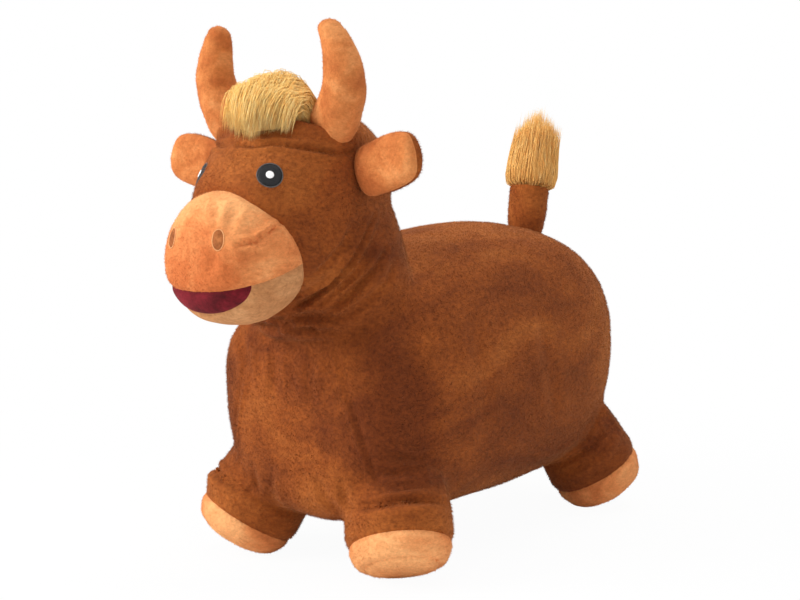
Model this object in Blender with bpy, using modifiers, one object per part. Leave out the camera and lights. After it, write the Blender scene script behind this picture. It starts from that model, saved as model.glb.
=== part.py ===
"""Bouncy ride-on bull, in metres, facing -Y with its left side towards +X.

An airtight bladder is dressed in a plush cover that comes off through a zip in its belly.
Horns, ears and tail are stuffed and sewn on. Each soft piece is cut from a form, which is
a cage of rings smoothed by subdivision; the layers under it are the same form moved in.
"""

import math
from collections import namedtuple

import bmesh
import bpy
import numpy
from mathutils import Matrix, Vector
from mathutils.bvhtree import BVHTree

# Fabric, bladder and fits
plush_thickness = 0.004
bladder_wall = 0.0016
fit_gap = 0.0003
weld_distance = 0.00001
settling_steps = 6

# Points round the cages of the outer forms, and round those of the plainer forms under them
body_ring_points = 12
neck_ring_points = 10
body_lining_points = 8
limb_ring_points = 8
limb_lining_points = 6
round_steps = 16

# Torso
torso_length = 0.444
torso_width = 0.252
torso_forward = 0.002
belly_height = 0.037
back_height = 0.3130
torso_squareness = 2.6
chest_seam_setback = 0.106
chest_seam_lean = math.radians(9)

# Legs and feet
foot_spread = 0.198
foot_inset = 0.062
foot_radius = 0.047
leg_length = 0.120
leg_splay_share = 0.42
sole_height = 0.016
front_hoof_height = 0.037
hind_hoof_height = 0.044
foot_flat_depth = 0.002

# Neck
neck_width = 0.146
neck_depth = 0.124
neck_root_setback = 0.061
neck_root_sink = 0.113
neck_top_setback = 0.038
neck_top_rise = 0.059

# Head
head_width = 0.152
head_length = 0.180
head_back_setback = 0.088
head_height = 0.168
head_top_rise = 0.108
head_squareness = 2.5
muzzle_width = 0.113
muzzle_height = 0.119
muzzle_depth = 0.112
muzzle_reach = 0.123
muzzle_centre_sink = 0.022

# Eyes and nostrils
eye_spread = 0.071
eye_rise = 0.046
eye_radius = 0.0106
eye_thickness = 0.0010
highlight_radius = 0.0038
highlight_thickness = 0.0008
nostril_spread = 0.051
nostril_centre_sink = 0.007
nostril_width = 0.012
nostril_height = 0.019
nostril_thickness = 0.0010

# Mouth
mouth_width = 0.084
mouth_line_sink = 0.0495
mouth_line_rise = math.radians(15)
mouth_corner_sink = 0.0415
mouth_depth = 0.0275

# Horns
horn_length = 0.089
horn_root_radius = 0.0215
horn_tip_radius = 0.0115
horn_root_x = 0.050
horn_root_reach = 0.007
horn_bow = 0.018
horn_lean_x = 0.017
horn_lean_y = -0.012

# Ears
ear_length = 0.061
ear_height = 0.048
ear_thickness = 0.027
ear_root_radius = 0.0095
ear_root_setback = 0.008
ear_root_rise = 0.048
ear_lift = math.radians(16)
ear_sweep = math.radians(8)

# Forelock
forelock_width = 0.074
forelock_length = 0.090
forelock_height = 0.038
forelock_reach = 0.068

# Tail
tail_root_radius = 0.0195
tail_top_radius = 0.0215
tail_sleeve_length = 0.062
tail_root_inset = 0.044
tail_lean = math.radians(11)
tuft_radius = 0.0260
tuft_length = 0.083

# Belly zip
zip_length = 0.150
zip_setback = 0.033
zip_tape_width = 0.009
zip_tape_thickness = 0.0010
zip_tape_parting = 0.0032
zip_tooth_pitch = 0.0048
zip_tooth_length = 0.0020
zip_tooth_taper = 0.0003
zip_tooth_height = 0.0022
zip_tooth_reach = 0.0012
zip_tooth_grip = 0.0012
zip_stop_length = 0.0040
zip_stop_width = 0.0080
slider_length = 0.011
slider_width = 0.0100
slider_plate = 0.0014
bail_inner_radius = 0.0022
bail_outer_radius = 0.0036
bail_width = 0.0030
pull_length = 0.020
pull_width = 0.0085
pull_thickness = 0.0016
pull_clearance = 0.0004
pull_rounding = 0.0030

# Bladder valve
valve_setback = 0.040
valve_cup_radius = 0.0095
valve_cup_depth = 0.0090
valve_wall = 0.0016
valve_flange = 0.0040
valve_weld_gap = 0.0028
valve_bore_radius = 0.0048
valve_tube_length = 0.012
plug_flange_radius = 0.0080
plug_flange_thickness = 0.0022
plug_length = 0.014
plug_tip_radius = 0.0030

# Lengthwise places, from the torso's ends and the chest seam
torso_front_y = -torso_length / 2 - torso_forward
chest_seam_y = torso_front_y + chest_seam_setback
foot_stance = torso_length - foot_inset
neck_root_y = torso_front_y + neck_root_setback
neck_top_y = torso_front_y + neck_top_setback
head_back_y = torso_front_y + head_back_setback
muzzle_front_y = torso_front_y - muzzle_reach
horn_root_y = torso_front_y - horn_root_reach
ear_root_y = torso_front_y + ear_root_setback
forelock_front_y = torso_front_y - forelock_reach
tail_root_y = torso_front_y + torso_length - tail_root_inset
zip_centre_y = chest_seam_y + zip_setback + zip_length / 2
valve_y = zip_centre_y + valve_setback

# Heights, from the back's
neck_root_z = back_height - neck_root_sink
neck_top_z = back_height + neck_top_rise
head_top_z = back_height + head_top_rise
muzzle_centre_z = back_height - muzzle_centre_sink
eye_height = back_height + eye_rise
nostril_centre_z = back_height - nostril_centre_sink
mouth_line_z = back_height - mouth_line_sink
mouth_corner_z = back_height - mouth_corner_sink
ear_root_z = back_height + ear_root_rise

# Colours, as linear red, green and blue
brown_plush = (0.270, 0.085, 0.020, 1.0)
tan_plush = (0.700, 0.265, 0.095, 1.0)
pale_plush = (0.560, 0.300, 0.140, 1.0)
golden_fur = (0.830, 0.440, 0.130, 1.0)
mouth_red = (0.150, 0.008, 0.020, 1.0)
eye_charcoal = (0.022, 0.022, 0.026, 1.0)
eye_white = (0.850, 0.850, 0.850, 1.0)
nostril_brown = (0.450, 0.160, 0.050, 1.0)
bladder_vinyl = (0.650, 0.640, 0.600, 1.0)
stuffing_white = (0.800, 0.800, 0.780, 1.0)
zip_brown = (0.110, 0.040, 0.015, 1.0)
zip_metal = (0.520, 0.500, 0.470, 1.0)

X, Y, Z = Vector((1, 0, 0)), Vector((0, 1, 0)), Vector((0, 0, 1))
SIDES = {"left": 1, "right": -1}
ENDS = {"front": -1, "hind": 1}

Ring = namedtuple("Ring", "centre along half_side rise fall")

# Shares of the torso's length, half width, height above its middle and depth below it
torso_profile_shares = (
    (0.000, 0.54, 0.24, 0.66),
    (0.045, 0.80, 0.46, 0.94),
    (0.190, 0.98, 0.75, 1.00),
    (0.480, 1.00, 0.94, 1.00),
    (0.770, 1.00, 0.97, 0.99),
    (0.950, 0.80, 0.66, 0.84),
    (1.000, 0.50, 0.38, 0.54),
)
# Shares of a leg's length from the sole, and of the foot's radius
leg_profile_shares = ((0.00, 0.62), (0.09, 0.98), (0.50, 1.06), (1.00, 0.92))
# Shares of the way up the neck, of its half width and of its half depth
neck_profile_shares = ((0.0, 1.28, 1.25), (0.55, 1.05, 1.03), (1.0, 0.80, 0.80))
# Shares of the head's length from its back, half width, rise and fall, and of the height its middle drops
head_profile_shares = (
    (0.00, 0.58, 0.55, 0.55, 0.00),
    (0.13, 0.90, 0.90, 0.87, 0.00),
    (0.50, 1.05, 1.06, 1.02, 0.01),
    (0.86, 0.61, 0.67, 0.70, 0.08),
    (1.00, 0.36, 0.38, 0.38, 0.12),
)
# Shares of the muzzle's depth from its front, and of its half width and half height
muzzle_profile_shares = (
    (0.00, 0.48, 0.46),
    (0.13, 0.84, 0.83),
    (0.52, 1.07, 1.07),
    (1.00, 0.78, 0.78),
)
# Shares of a horn's length from its root, of the step from root to tip radius, and of its bow
horn_profile_shares = (
    (-0.20, -0.10, -0.25),
    (0.15, 0.05, 0.60),
    (0.50, 0.35, 1.00),
    (0.86, 0.90, 0.00),
    (1.00, 1.40, -0.55),
)
# Shares of an ear's root radius from its hinge, and of its half height and half thickness
ear_root_shares = ((-1.17, 0.50, 0.50),)
# Shares of an ear's height where its hinge line is kept clear of the head
ear_hinge_shares = (-0.3, -0.15, 0.0, 0.15, 0.3)
# Shares of an ear's length from its hinge, and of its half height and half thickness
ear_blade_shares = ((0.22, 0.84, 0.80), (0.74, 1.04, 1.06), (1.00, 0.62, 0.66))
# Shares of the forelock's length from its front edge, and of its half width and height
forelock_profile_shares = (
    (0.00, 0.42, 0.30),
    (0.14, 0.74, 0.60),
    (0.45, 1.00, 0.95),
    (0.80, 0.90, 1.00),
    (1.00, 0.54, 0.60),
)
# Shares of the tail's root radius from its hinge, and of that radius
tail_root_shares = ((-1.035, 0.50), (-0.35, 1.03))
# Shares of the reach from there to the sleeve's top, and of the way from root to top radius
tail_sleeve_shares = ((0.60, 0.60), (1.50, 1.00))
# Shares of the tuft's length from its root, and of its radius
tuft_profile_shares = ((-0.12, 0.60), (0.12, 0.86), (0.50, 1.02), (0.82, 0.84), (1.00, 0.40))


def clear_scene():
    for thing in list(bpy.data.objects):
        bpy.data.objects.remove(thing, do_unlink=True)


def new_collection(name):
    group = bpy.data.collections.new(name)
    bpy.context.scene.collection.children.link(group)
    return group


clear_scene()
toy = new_collection("bouncy_ride_on_bull")
cutters = new_collection("cutters")


def material(name, colour, roughness, metallic=0.0):
    finish = bpy.data.materials.new(name)
    finish.use_nodes = True
    shader = finish.node_tree.nodes["Principled BSDF"]
    shader.inputs["Base Color"].default_value = colour
    shader.inputs["Roughness"].default_value = roughness
    shader.inputs["Metallic"].default_value = metallic
    return finish


def piece(name, mesh, colour, roughness=0.9, metallic=0.0):
    """A named sub-part with its own finish, shaded smooth where it is round."""
    thing = bpy.data.objects.new(name, mesh.copy())
    thing.data.name = name
    thing.data.materials.clear()
    thing.data.materials.append(material(name, colour, roughness, metallic))
    thing.data.shade_smooth()
    thing.data.set_sharp_from_angle(angle=math.radians(50))
    toy.objects.link(thing)
    return thing


def cutter(name, mesh):
    thing = bpy.data.objects.new(name, mesh)
    thing.hide_render = True
    thing.display_type = "WIRE"
    cutters.objects.link(thing)
    return thing


def boolean(target, tool, operation="DIFFERENCE"):
    step = target.modifiers.new(f"{operation.lower()} {tool.name}", "BOOLEAN")
    step.object = tool
    step.operation = operation
    return target


def cut(target, *tools):
    for tool in tools:
        boolean(target, tool)
    return target


def mesh_from(name, build):
    """A mesh filled by build(bm), its faces turned outwards."""
    bm = bmesh.new()
    build(bm)
    bmesh.ops.recalc_face_normals(bm, faces=bm.faces)
    mesh = bpy.data.meshes.new(name)
    bm.to_mesh(mesh)
    bm.free()
    return mesh


def box(name, size, centre, turn=Matrix()):
    place = Matrix.Translation(centre) @ turn.to_4x4() @ Matrix.Diagonal((*size, 1))
    return mesh_from(name, lambda bm: bmesh.ops.create_cube(bm, size=1, matrix=place))


def cylinder(name, radii, depth, centre, along, roll=Z):
    """A round or oval bar whose length lies along a direction; radii are across and along roll."""
    upright = along.normalized()
    across = roll.cross(upright).normalized()
    turn = Matrix((across, upright.cross(across), upright)).transposed().to_4x4()
    place = Matrix.Translation(centre) @ turn @ Matrix.Diagonal((*radii, depth, 1))
    return mesh_from(
        name,
        lambda bm: bmesh.ops.create_cone(
            bm, cap_ends=True, segments=round_steps, radius1=1, radius2=1, depth=1, matrix=place
        ),
    )


def turned(name, profile, centre):
    """An outline of radius and height, turned round a vertical axis; it closes there or on itself."""

    def spin(bm):
        ring = [bm.verts.new(centre + X * radius + Z * height) for radius, height in profile]
        closing = ring[1:] if profile[0][0] == 0 else ring[1:] + ring[:1]
        edges = [bm.edges.new(pair) for pair in zip(ring, closing)]
        bmesh.ops.spin(
            bm, geom=ring + edges, cent=centre, axis=Z, angle=2 * math.pi, steps=round_steps, use_merge=True
        )
        bmesh.ops.remove_doubles(bm, verts=bm.verts, dist=weld_distance)

    return mesh_from(name, spin)


def surface_of(form):
    """The form as a surface that lines are cast on and distances measured to."""
    return BVHTree.FromPolygons([v.co for v in form.vertices], [p.vertices for p in form.polygons])


def cast(form, start, direction):
    """Where a line meets the form, and the way the form faces there."""
    spot, normal, _, _ = surface_of(form).ray_cast(start, direction)
    return spot, normal


def cage_for(spots):
    """The closed ring of cage points that subdivision brings to rest on the spots given."""
    itself = numpy.eye(len(spots))
    neighbours = numpy.roll(itself, 1, axis=0) + numpy.roll(itself, -1, axis=0)
    return numpy.linalg.solve((4 * itself + neighbours) / 6, numpy.array(spots))


def ring_points_of(ring, side, points, squareness):
    """The cage of a rounded oval that lies square to the ring's path."""
    up = side.cross(ring.along).normalized()
    spots = []
    for step in range(points):
        turn = 2 * math.pi * step / points
        across = math.copysign(abs(math.cos(turn)) ** (2 / squareness), math.cos(turn))
        rise = math.copysign(abs(math.sin(turn)) ** (2 / squareness), math.sin(turn))
        height = ring.rise if rise > 0 else ring.fall
        spots.append(ring.centre + side * across * ring.half_side + up * rise * height)
    return cage_for(spots)


def soft_form(name, rings, points, side=X, squareness=2.0):
    """The smooth closed mesh of a cage lofted through rings."""

    def loft(bm):
        loops = []
        for ring in rings:
            loops.append([bm.verts.new(p) for p in ring_points_of(ring, side, points, squareness)])
        for near, far in zip(loops, loops[1:]):
            for i, j in zip(range(points), [*range(1, points), 0]):
                bm.faces.new((near[i], near[j], far[j], far[i]))
        bm.faces.new(loops[0][::-1])
        bm.faces.new(loops[-1])

    guide = bpy.data.objects.new(name, mesh_from(name, loft))
    bpy.context.scene.collection.objects.link(guide)
    smooth = guide.modifiers.new("smooth", "SUBSURF")
    smooth.levels = smooth.render_levels = 1
    guide.modifiers.new("triangles", "TRIANGULATE")
    depsgraph = bpy.context.evaluated_depsgraph_get()
    form = bpy.data.meshes.new_from_object(guide.evaluated_get(depsgraph))
    bpy.data.objects.remove(guide)
    form.name = name
    return form


def moved(form, inwards, name):
    """The same form with its surface moved in, or out where inwards is negative."""
    copy = form.copy()
    copy.name = name
    normals = [vertex.normal.copy() for vertex in form.vertices]
    for vertex, normal in zip(copy.vertices, normals):
        vertex.co -= normal * inwards
    return copy


class Layers:
    """A form, and the surfaces over and under it. Those under it follow a plainer mesh of the form."""

    def __init__(self, name, shape, points, lining_points):
        self.name = name
        self.outer = shape(points)
        self.lining = shape(lining_points)

    def over(self, word, height):
        return moved(self.outer, -height, f"{self.name}_{word}")

    def under(self, word, depth):
        return moved(self.lining, depth, f"{self.name}_{word}")

    def clearance(self):
        return cutter(f"{self.name}_clearance", self.over("clearance", fit_gap))

    def fabric_inside(self):
        return cutter(f"{self.name}_fabric_inside", self.under("fabric_inside", plush_thickness))

    def filling(self):
        return self.under("filling", plush_thickness + fit_gap)

    def air(self):
        return self.under("air", plush_thickness + fit_gap + bladder_wall)


def torso_form(points):
    middle = (belly_height + back_height) / 2
    half_height = (back_height - belly_height) / 2
    rings = [
        Ring(
            Vector((0, torso_front_y + along * torso_length, middle)),
            Y,
            width * torso_width / 2,
            rise * half_height,
            fall * half_height,
        )
        for along, width, rise, fall in torso_profile_shares
    ]
    return soft_form("torso", rings, points, squareness=torso_squareness)


def leg_axis(side, end):
    """From the sole up into the torso, leaning in from a foot set wide."""
    return Vector((-side * leg_splay_share, -end * leg_splay_share, 1)).normalized()


def leg_form(side, end, drop, points):
    axis = leg_axis(side, end)
    across = axis.cross(Vector((side, end, 0))).normalized()
    foot = Vector((side * foot_spread / 2, end * foot_stance / 2, -drop))
    rings = [
        Ring(foot + axis * along * leg_length, axis, *[share * foot_radius] * 3)
        for along, share in leg_profile_shares
    ]
    return soft_form("leg", rings, points, side=across)


def neck_form(points):
    root = Vector((0, neck_root_y, neck_root_z))
    top = Vector((0, neck_top_y, neck_top_z))
    along = (top - root).normalized()
    rings = [
        Ring(root.lerp(top, step), along, wide * neck_width / 2, *[deep * neck_depth / 2] * 2)
        for step, wide, deep in neck_profile_shares
    ]
    return soft_form("neck", rings, points)


def head_form(points):
    half_height = head_height / 2
    rings = [
        Ring(
            Vector((0, head_back_y - along * head_length, head_top_z - half_height - drop * head_height)),
            Y,
            width * head_width / 2,
            rise * half_height,
            fall * half_height,
        )
        for along, width, rise, fall, drop in head_profile_shares
    ]
    return soft_form("head", rings, points, squareness=head_squareness)


def muzzle_form(points):
    rings = [
        Ring(
            Vector((0, muzzle_front_y + along * muzzle_depth, muzzle_centre_z)),
            Y,
            width * muzzle_width / 2,
            *[height * muzzle_height / 2] * 2,
        )
        for along, width, height in muzzle_profile_shares
    ]
    return soft_form("muzzle", rings, points)


def horn_form(side, points):
    """A horn that bows outwards and comes back up to a blunt tip."""
    root, _ = cast(head.outer, Vector((side * horn_root_x, horn_root_y, head_top_z + horn_length)), -Z)
    lean = Vector((side * horn_lean_x, horn_lean_y, horn_length))
    spots = [root + lean * along + X * side * bow * horn_bow for along, _, bow in horn_profile_shares]
    rings = []
    for index, (_, step, _) in enumerate(horn_profile_shares):
        behind, ahead = spots[max(index - 1, 0)], spots[min(index + 1, len(spots) - 1)]
        radius = horn_root_radius + step * (horn_tip_radius - horn_root_radius)
        rings.append(Ring(spots[index], (ahead - behind).normalized(), radius, radius, radius))
    return soft_form("horn", rings, points, side=Y)


def ear_way(side):
    """The direction an ear points in, out from the head."""
    level = Vector((side * math.cos(ear_sweep), -math.sin(ear_sweep), 0))
    return level * math.cos(ear_lift) + Z * math.sin(ear_lift)


def ear_hinge_axis(side):
    """The line at its root that an ear folds on, close to upright."""
    return (Z - ear_way(side) * ear_way(side).z).normalized()


def settled(skin, line, direction, clearance):
    """How far a line of points moves along a direction to lie the clearance off a skin it is close to."""
    travel = 0
    for _ in range(settling_steps):
        places = [point + direction * travel for point in line]
        depths = []
        for place in places:
            spot, normal, _, distance = skin.find_nearest(place)
            depths.append(math.copysign(distance, normal.dot(place - spot)))
        travel += clearance - min(depths)
    return travel


def ear_hinge(side):
    """A root's radius and a fit off the side of the head, whichever part of the head comes nearest."""
    start, _ = cast(head.outer, Vector((side * head_width, ear_root_y, ear_root_z)), X * -side)
    line = [start + ear_hinge_axis(side) * share * ear_height for share in ear_hinge_shares]
    return start + X * side * settled(surface_of(head.outer), line, X * side, ear_root_radius + fit_gap)


def ear_form(side, hinge, points):
    way = ear_way(side)
    places = [(share * ear_root_radius, high, thick) for share, high, thick in ear_root_shares]
    places += [(share * ear_length, high, thick) for share, high, thick in ear_blade_shares]
    rings = [
        Ring(hinge + way * out, way, high * ear_height / 2, *[thick * ear_thickness / 2] * 2)
        for out, high, thick in places
    ]
    return soft_form("ear", rings, points, side=ear_hinge_axis(side))


def tail_way():
    return Vector((0, math.sin(tail_lean), math.cos(tail_lean)))


def tail_hinge():
    """A root's radius and a fit above the nearest point of the rump."""
    start, _ = cast(torso.outer, Vector((0, tail_root_y, 2 * back_height)), -Z)
    return start + Z * settled(surface_of(torso.outer), [start], Z, tail_root_radius + fit_gap)


def tail_form(hinge, points):
    """A stalk on a round root, carried on past its top, where it is cut off."""
    reach = tail_sleeve_length - tail_root_radius
    places = [(out * tail_root_radius, wide * tail_root_radius) for out, wide in tail_root_shares]
    for along, step in tail_sleeve_shares:
        places.append((along * reach, tail_root_radius + step * (tail_top_radius - tail_root_radius)))
    rings = [Ring(hinge + tail_way() * out, tail_way(), radius, radius, radius) for out, radius in places]
    return soft_form("tail", rings, points)


torso = Layers("torso", torso_form, body_ring_points, body_lining_points)
neck = Layers("neck", neck_form, neck_ring_points, body_lining_points)
head = Layers("head", head_form, body_ring_points, body_lining_points)
muzzle = Layers("muzzle", muzzle_form, body_ring_points, body_lining_points)
lowest = min(vertex.co.z for vertex in leg_form(1, 1, 0, limb_ring_points).vertices)
floor_drop = lowest + foot_flat_depth


def limb(name, form, *places):
    """Outer form and lining of a leg, horn, ear or tail, whose form also takes the places given."""
    return Layers(name, lambda points: form(*places, points), limb_ring_points, limb_lining_points)


legs = {
    (end, side): limb(f"{end}_{side}_leg", leg_form, SIDES[side], ENDS[end], floor_drop)
    for end in ENDS
    for side in SIDES
}
horns = {side: limb(f"horn_{side}", horn_form, SIDES[side]) for side in SIDES}
ear_hinges = {side: ear_hinge(SIDES[side]) for side in SIDES}
ears = {side: limb(f"ear_{side}", ear_form, SIDES[side], ear_hinges[side]) for side in SIDES}
tail = limb("tail", tail_form, tail_hinge())

torso_clearance, torso_inside = torso.clearance(), torso.fabric_inside()
neck_inside = neck.fabric_inside()
head_clearance, head_inside = head.clearance(), head.fabric_inside()
muzzle_inside = muzzle.fabric_inside()
leg_insides = {key: layers.fabric_inside() for key, layers in legs.items()}


def torso_panels(slot):
    """Chest and flank panels of the torso's cover, each open where head, neck and legs come through."""
    size = Vector((torso_width, torso_length, 2 * back_height))
    lean = Matrix.Rotation(chest_seam_lean, 3, "X")
    seam = Vector((0, chest_seam_y, (belly_height + back_height) / 2))
    for word, side in SIDES.items():
        for name, way in (("chest_panel", -1), ("flank_panel", 1)):
            middle = seam + lean @ Y * way * (size.y + fit_gap) / 2 + X * side * (size.x + fit_gap) / 2
            region = cutter(f"{name}_{word}_region", box("region", size, middle, lean))
            panel = piece(f"{name}_{word}", torso.outer, brown_plush)
            cut(panel, torso_inside, neck_inside, head_inside)
            cut(panel, *[inside for (end, leg_side), inside in leg_insides.items() if leg_side == word])
            cut(panel, slot)
            boolean(panel, region, "INTERSECT")


hoof_heights = {"front": front_hoof_height, "hind": hind_hoof_height}


def leg_pieces():
    """A sleeve, a hoof band and a sole for each leg, parted square to the leg."""
    size = Vector((torso_width, torso_width, leg_length * 2))
    floor = cutter("floor", box("floor", size * 4, Vector((0, 0, -size.z * 2))))
    for (end, word), layers in legs.items():
        side, way = SIDES[word], ENDS[end]
        axis = leg_axis(side, way)
        turn = Z.rotation_difference(axis).to_matrix()
        foot = Vector((side * foot_spread / 2, way * foot_stance / 2, -floor_drop))
        stretches = {
            "leg_sleeve": (hoof_heights[end] + fit_gap / 2, size.z, brown_plush),
            "hoof_band": (sole_height + fit_gap / 2, hoof_heights[end] - fit_gap / 2, tan_plush),
            "hoof_sole": (-size.z, sole_height - fit_gap / 2, tan_plush),
        }
        for name, (low, high, colour) in stretches.items():
            node = f"{name}_{end}_{word}"
            slab = Vector((size.x, size.y, high - low))
            region = cutter(f"{node}_region", box("region", slab, foot + axis * (low + high) / 2, turn))
            part = piece(node, layers.outer, colour)
            cut(part, leg_insides[end, word], torso_clearance)
            boolean(part, region, "INTERSECT")
            if name == "hoof_sole":
                cut(part, floor)


def head_pieces():
    neck_cover = piece("neck_cover", neck.outer, brown_plush)
    cut(neck_cover, neck_inside, torso_clearance, head_clearance)
    head_cover = piece("head_cover", head.outer, brown_plush)
    cut(head_cover, torso_clearance, head_inside, neck_inside, muzzle_inside)


def muzzle_pieces():
    """An upper cover, a chin below the mouth's line, and the mouth let into the chin."""
    size = Vector((muzzle_width, muzzle_depth, muzzle_height)) * 2
    rise = Matrix.Rotation(mouth_line_rise, 3, "X")
    line = Vector((0, muzzle_front_y, mouth_line_z))
    above = cutter("above_mouth_line", box("above", size, line + rise @ Z * (size.z + fit_gap) / 2, rise))
    below = cutter("below_mouth_line", box("below", size, line - rise @ Z * (size.z + fit_gap) / 2, rise))
    lips = Vector((0, muzzle_front_y, mouth_corner_z))
    opening = (mouth_width / 2, mouth_depth)
    inside_lips = cutter("inside_lips", cylinder("inside_lips", opening, muzzle_depth, lips, Y))
    wider = [radius + fit_gap for radius in opening]
    outside_lips = cutter("outside_lips", cylinder("outside_lips", wider, muzzle_depth, lips, Y))
    cover = piece("muzzle_cover", muzzle.outer, tan_plush)
    chin = piece("chin_cover", muzzle.outer, pale_plush)
    mouth = piece("mouth_patch", muzzle.outer, mouth_red)
    for part in (cover, chin, mouth):
        cut(part, muzzle_inside, head_clearance)
    boolean(cover, above, "INTERSECT")
    boolean(chin, below, "INTERSECT")
    boolean(mouth, below, "INTERSECT")
    cut(chin, outside_lips)
    boolean(mouth, inside_lips, "INTERSECT")


def patch(name, layers, start, radii, lift, thickness, colour, roughness):
    """A flat patch sewn onto a form: the layer over its surface, inside an oval bar."""
    spot, normal = cast(layers.outer, start, Y)
    bar = cutter(f"{name}_outline", cylinder("outline", radii, 4 * max(radii), spot, normal))
    under = cutter(f"{name}_underside", layers.over("patch_underside", lift))
    part = piece(name, layers.over("patch", lift + thickness), colour, roughness)
    cut(part, under)
    boolean(part, bar, "INTERSECT")


def face_patches():
    front = muzzle_front_y - muzzle_depth
    for word, side in SIDES.items():
        eye = Vector((side * eye_spread / 2, front, eye_height))
        patch(f"eye_disc_{word}", head, eye, [eye_radius] * 2, fit_gap, eye_thickness, eye_charcoal, 0.6)
        over_eye = 2 * fit_gap + eye_thickness
        radii = [highlight_radius] * 2
        patch(f"eye_highlight_{word}", head, eye, radii, over_eye, highlight_thickness, eye_white, 0.5)
        nostril = Vector((side * nostril_spread / 2, front, nostril_centre_z))
        radii = (nostril_width / 2, nostril_height / 2)
        patch(f"nostril_{word}", muzzle, nostril, radii, fit_gap, nostril_thickness, nostril_brown, 0.8)


def horn_pieces():
    for word, layers in horns.items():
        cut(piece(f"horn_cover_{word}", layers.outer, tan_plush), layers.fabric_inside(), head_clearance)
        cut(piece(f"horn_filling_{word}", layers.filling(), stuffing_white), head_clearance)


def joint_empty(name, place):
    """An empty on a joint's axis, which carries the pieces that move with it."""
    empty = bpy.data.objects.new(name, None)
    empty.location = place
    empty.empty_display_size = ear_root_radius
    toy.objects.link(empty)
    return empty


def carry(empty, *pieces):
    for part in pieces:
        part.parent = empty
        part.matrix_parent_inverse = Matrix.Translation(-empty.location)


def ear_pieces():
    """Tan front and brown back of each ear, parted through its thickness, over its filling."""
    for word, side in SIDES.items():
        layers, hinge = ears[word], ear_hinges[word]
        thick = ear_hinge_axis(side).cross(ear_way(side)).normalized()
        turn = Matrix((ear_way(side), thick, ear_way(side).cross(thick))).transposed()
        size = Vector((ear_length, ear_thickness, ear_height)) * 3
        inside = layers.fabric_inside()
        parts = []
        for name, way, colour in (("front", -1, tan_plush), ("back", 1, brown_plush)):
            facing = thick * way * math.copysign(1, thick.y)
            middle = hinge + facing * (size.y + fit_gap) / 2
            region = cutter(f"ear_{name}_{word}_region", box("region", size, middle, turn))
            part = cut(piece(f"ear_{name}_{word}", layers.outer, colour), inside)
            parts.append(boolean(part, region, "INTERSECT"))
        parts.append(piece(f"ear_filling_{word}", layers.filling(), stuffing_white))
        carry(joint_empty(f"ear_{word}_hinge", hinge), *parts)


def forelock_piece():
    """A tapered clump of long pile between the horns, lying on the head and combed to the front."""
    rings = []
    for along, wide, high in forelock_profile_shares:
        y = forelock_front_y + along * forelock_length
        root, _ = cast(head.outer, Vector((0, y, head_top_z + horn_length)), -Z)
        half_width, height = wide * forelock_width / 2, high * forelock_height
        rings.append(Ring(root, Y, half_width, height, height))
    part = piece("forelock", soft_form("forelock", rings, limb_ring_points), golden_fur)
    cut(part, head_clearance, *[layers.clearance() for layers in horns.values()])


def tail_pieces():
    """A stuffed stalk, open at its top where the tuft sits."""
    hinge, way = tail_hinge(), tail_way()
    turn = Z.rotation_difference(way).to_matrix()
    size = Vector((tuft_radius, tuft_radius, tail_sleeve_length + tuft_length)) * 4
    top = hinge + way * (tail_sleeve_length - tail_root_radius)
    beyond = cutter("above_tail_sleeve", box("beyond", size, top + way * size.z / 2, turn))
    sleeve = cut(piece("tail_sleeve", tail.outer, brown_plush), tail.fabric_inside(), beyond)
    filling = cut(piece("tail_filling", tail.filling(), stuffing_white), beyond)
    rings = [
        Ring(top + way * (fit_gap + along * tuft_length), way, *[wide * tuft_radius] * 3)
        for along, wide in tuft_profile_shares
    ]
    below = cutter("below_tuft", box("below", size, top + way * (fit_gap - size.z / 2), turn))
    tuft = cut(piece("tail_tuft", soft_form("tuft", rings, limb_ring_points), golden_fur), below)
    carry(joint_empty("tail_hinge", hinge), sleeve, filling, tuft)


def bladder_pieces():
    """One airtight skin under all of the cover, with its valve in the belly."""
    forms = [neck, head, muzzle, *legs.values()]
    bladder = piece("bladder", torso.filling(), bladder_vinyl, 0.35)
    air = cutter("air", torso.air())
    for layers in forms:
        boolean(bladder, cutter(f"{layers.name}_bladder", layers.filling()), "UNION")
        boolean(air, cutter(f"{layers.name}_air", layers.air()), "UNION")
    cut(bladder, air)
    belly, _ = cast(torso.outer, Vector((0, valve_y, -back_height)), Z)
    mouth = belly + Z * (plush_thickness + fit_gap)
    cup = valve_cup_radius + valve_wall
    bore = cylinder("valve_bore", [cup + fit_gap] * 2, 4 * valve_cup_depth, mouth, Z, Y)
    cut(bladder, cutter("valve_bore", bore))
    weld = bladder_wall + valve_weld_gap
    tube = valve_bore_radius + valve_wall
    roof = valve_cup_depth + valve_wall
    seat_profile = (
        (valve_cup_radius, 0),
        (cup, 0),
        (cup, weld),
        (cup + valve_flange, weld),
        (cup + valve_flange, weld + valve_wall),
        (cup, weld + valve_wall),
        (cup, roof),
        (tube, roof),
        (tube, roof + valve_tube_length),
        (valve_bore_radius, roof + valve_tube_length),
        (valve_bore_radius, valve_cup_depth),
        (valve_cup_radius, valve_cup_depth),
    )
    piece("valve_seat", turned("valve_seat", seat_profile, mouth), bladder_vinyl, 0.35)
    under = valve_cup_depth - fit_gap
    stem = valve_bore_radius - fit_gap
    plug_profile = (
        (0, under - plug_flange_thickness),
        (plug_flange_radius, under - plug_flange_thickness),
        (plug_flange_radius, under),
        (stem, under),
        (stem, under + plug_length - plug_tip_radius),
        (plug_tip_radius, under + plug_length),
        (0, under + plug_length),
    )
    plug = piece("valve_plug", turned("valve_plug", plug_profile, mouth), bladder_vinyl, 0.4)
    carry(joint_empty("valve_plug_slide", mouth), plug)


def belly_level():
    spot, _ = cast(torso.outer, Vector((0, zip_centre_y, -back_height)), Z)
    return spot.z


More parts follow.
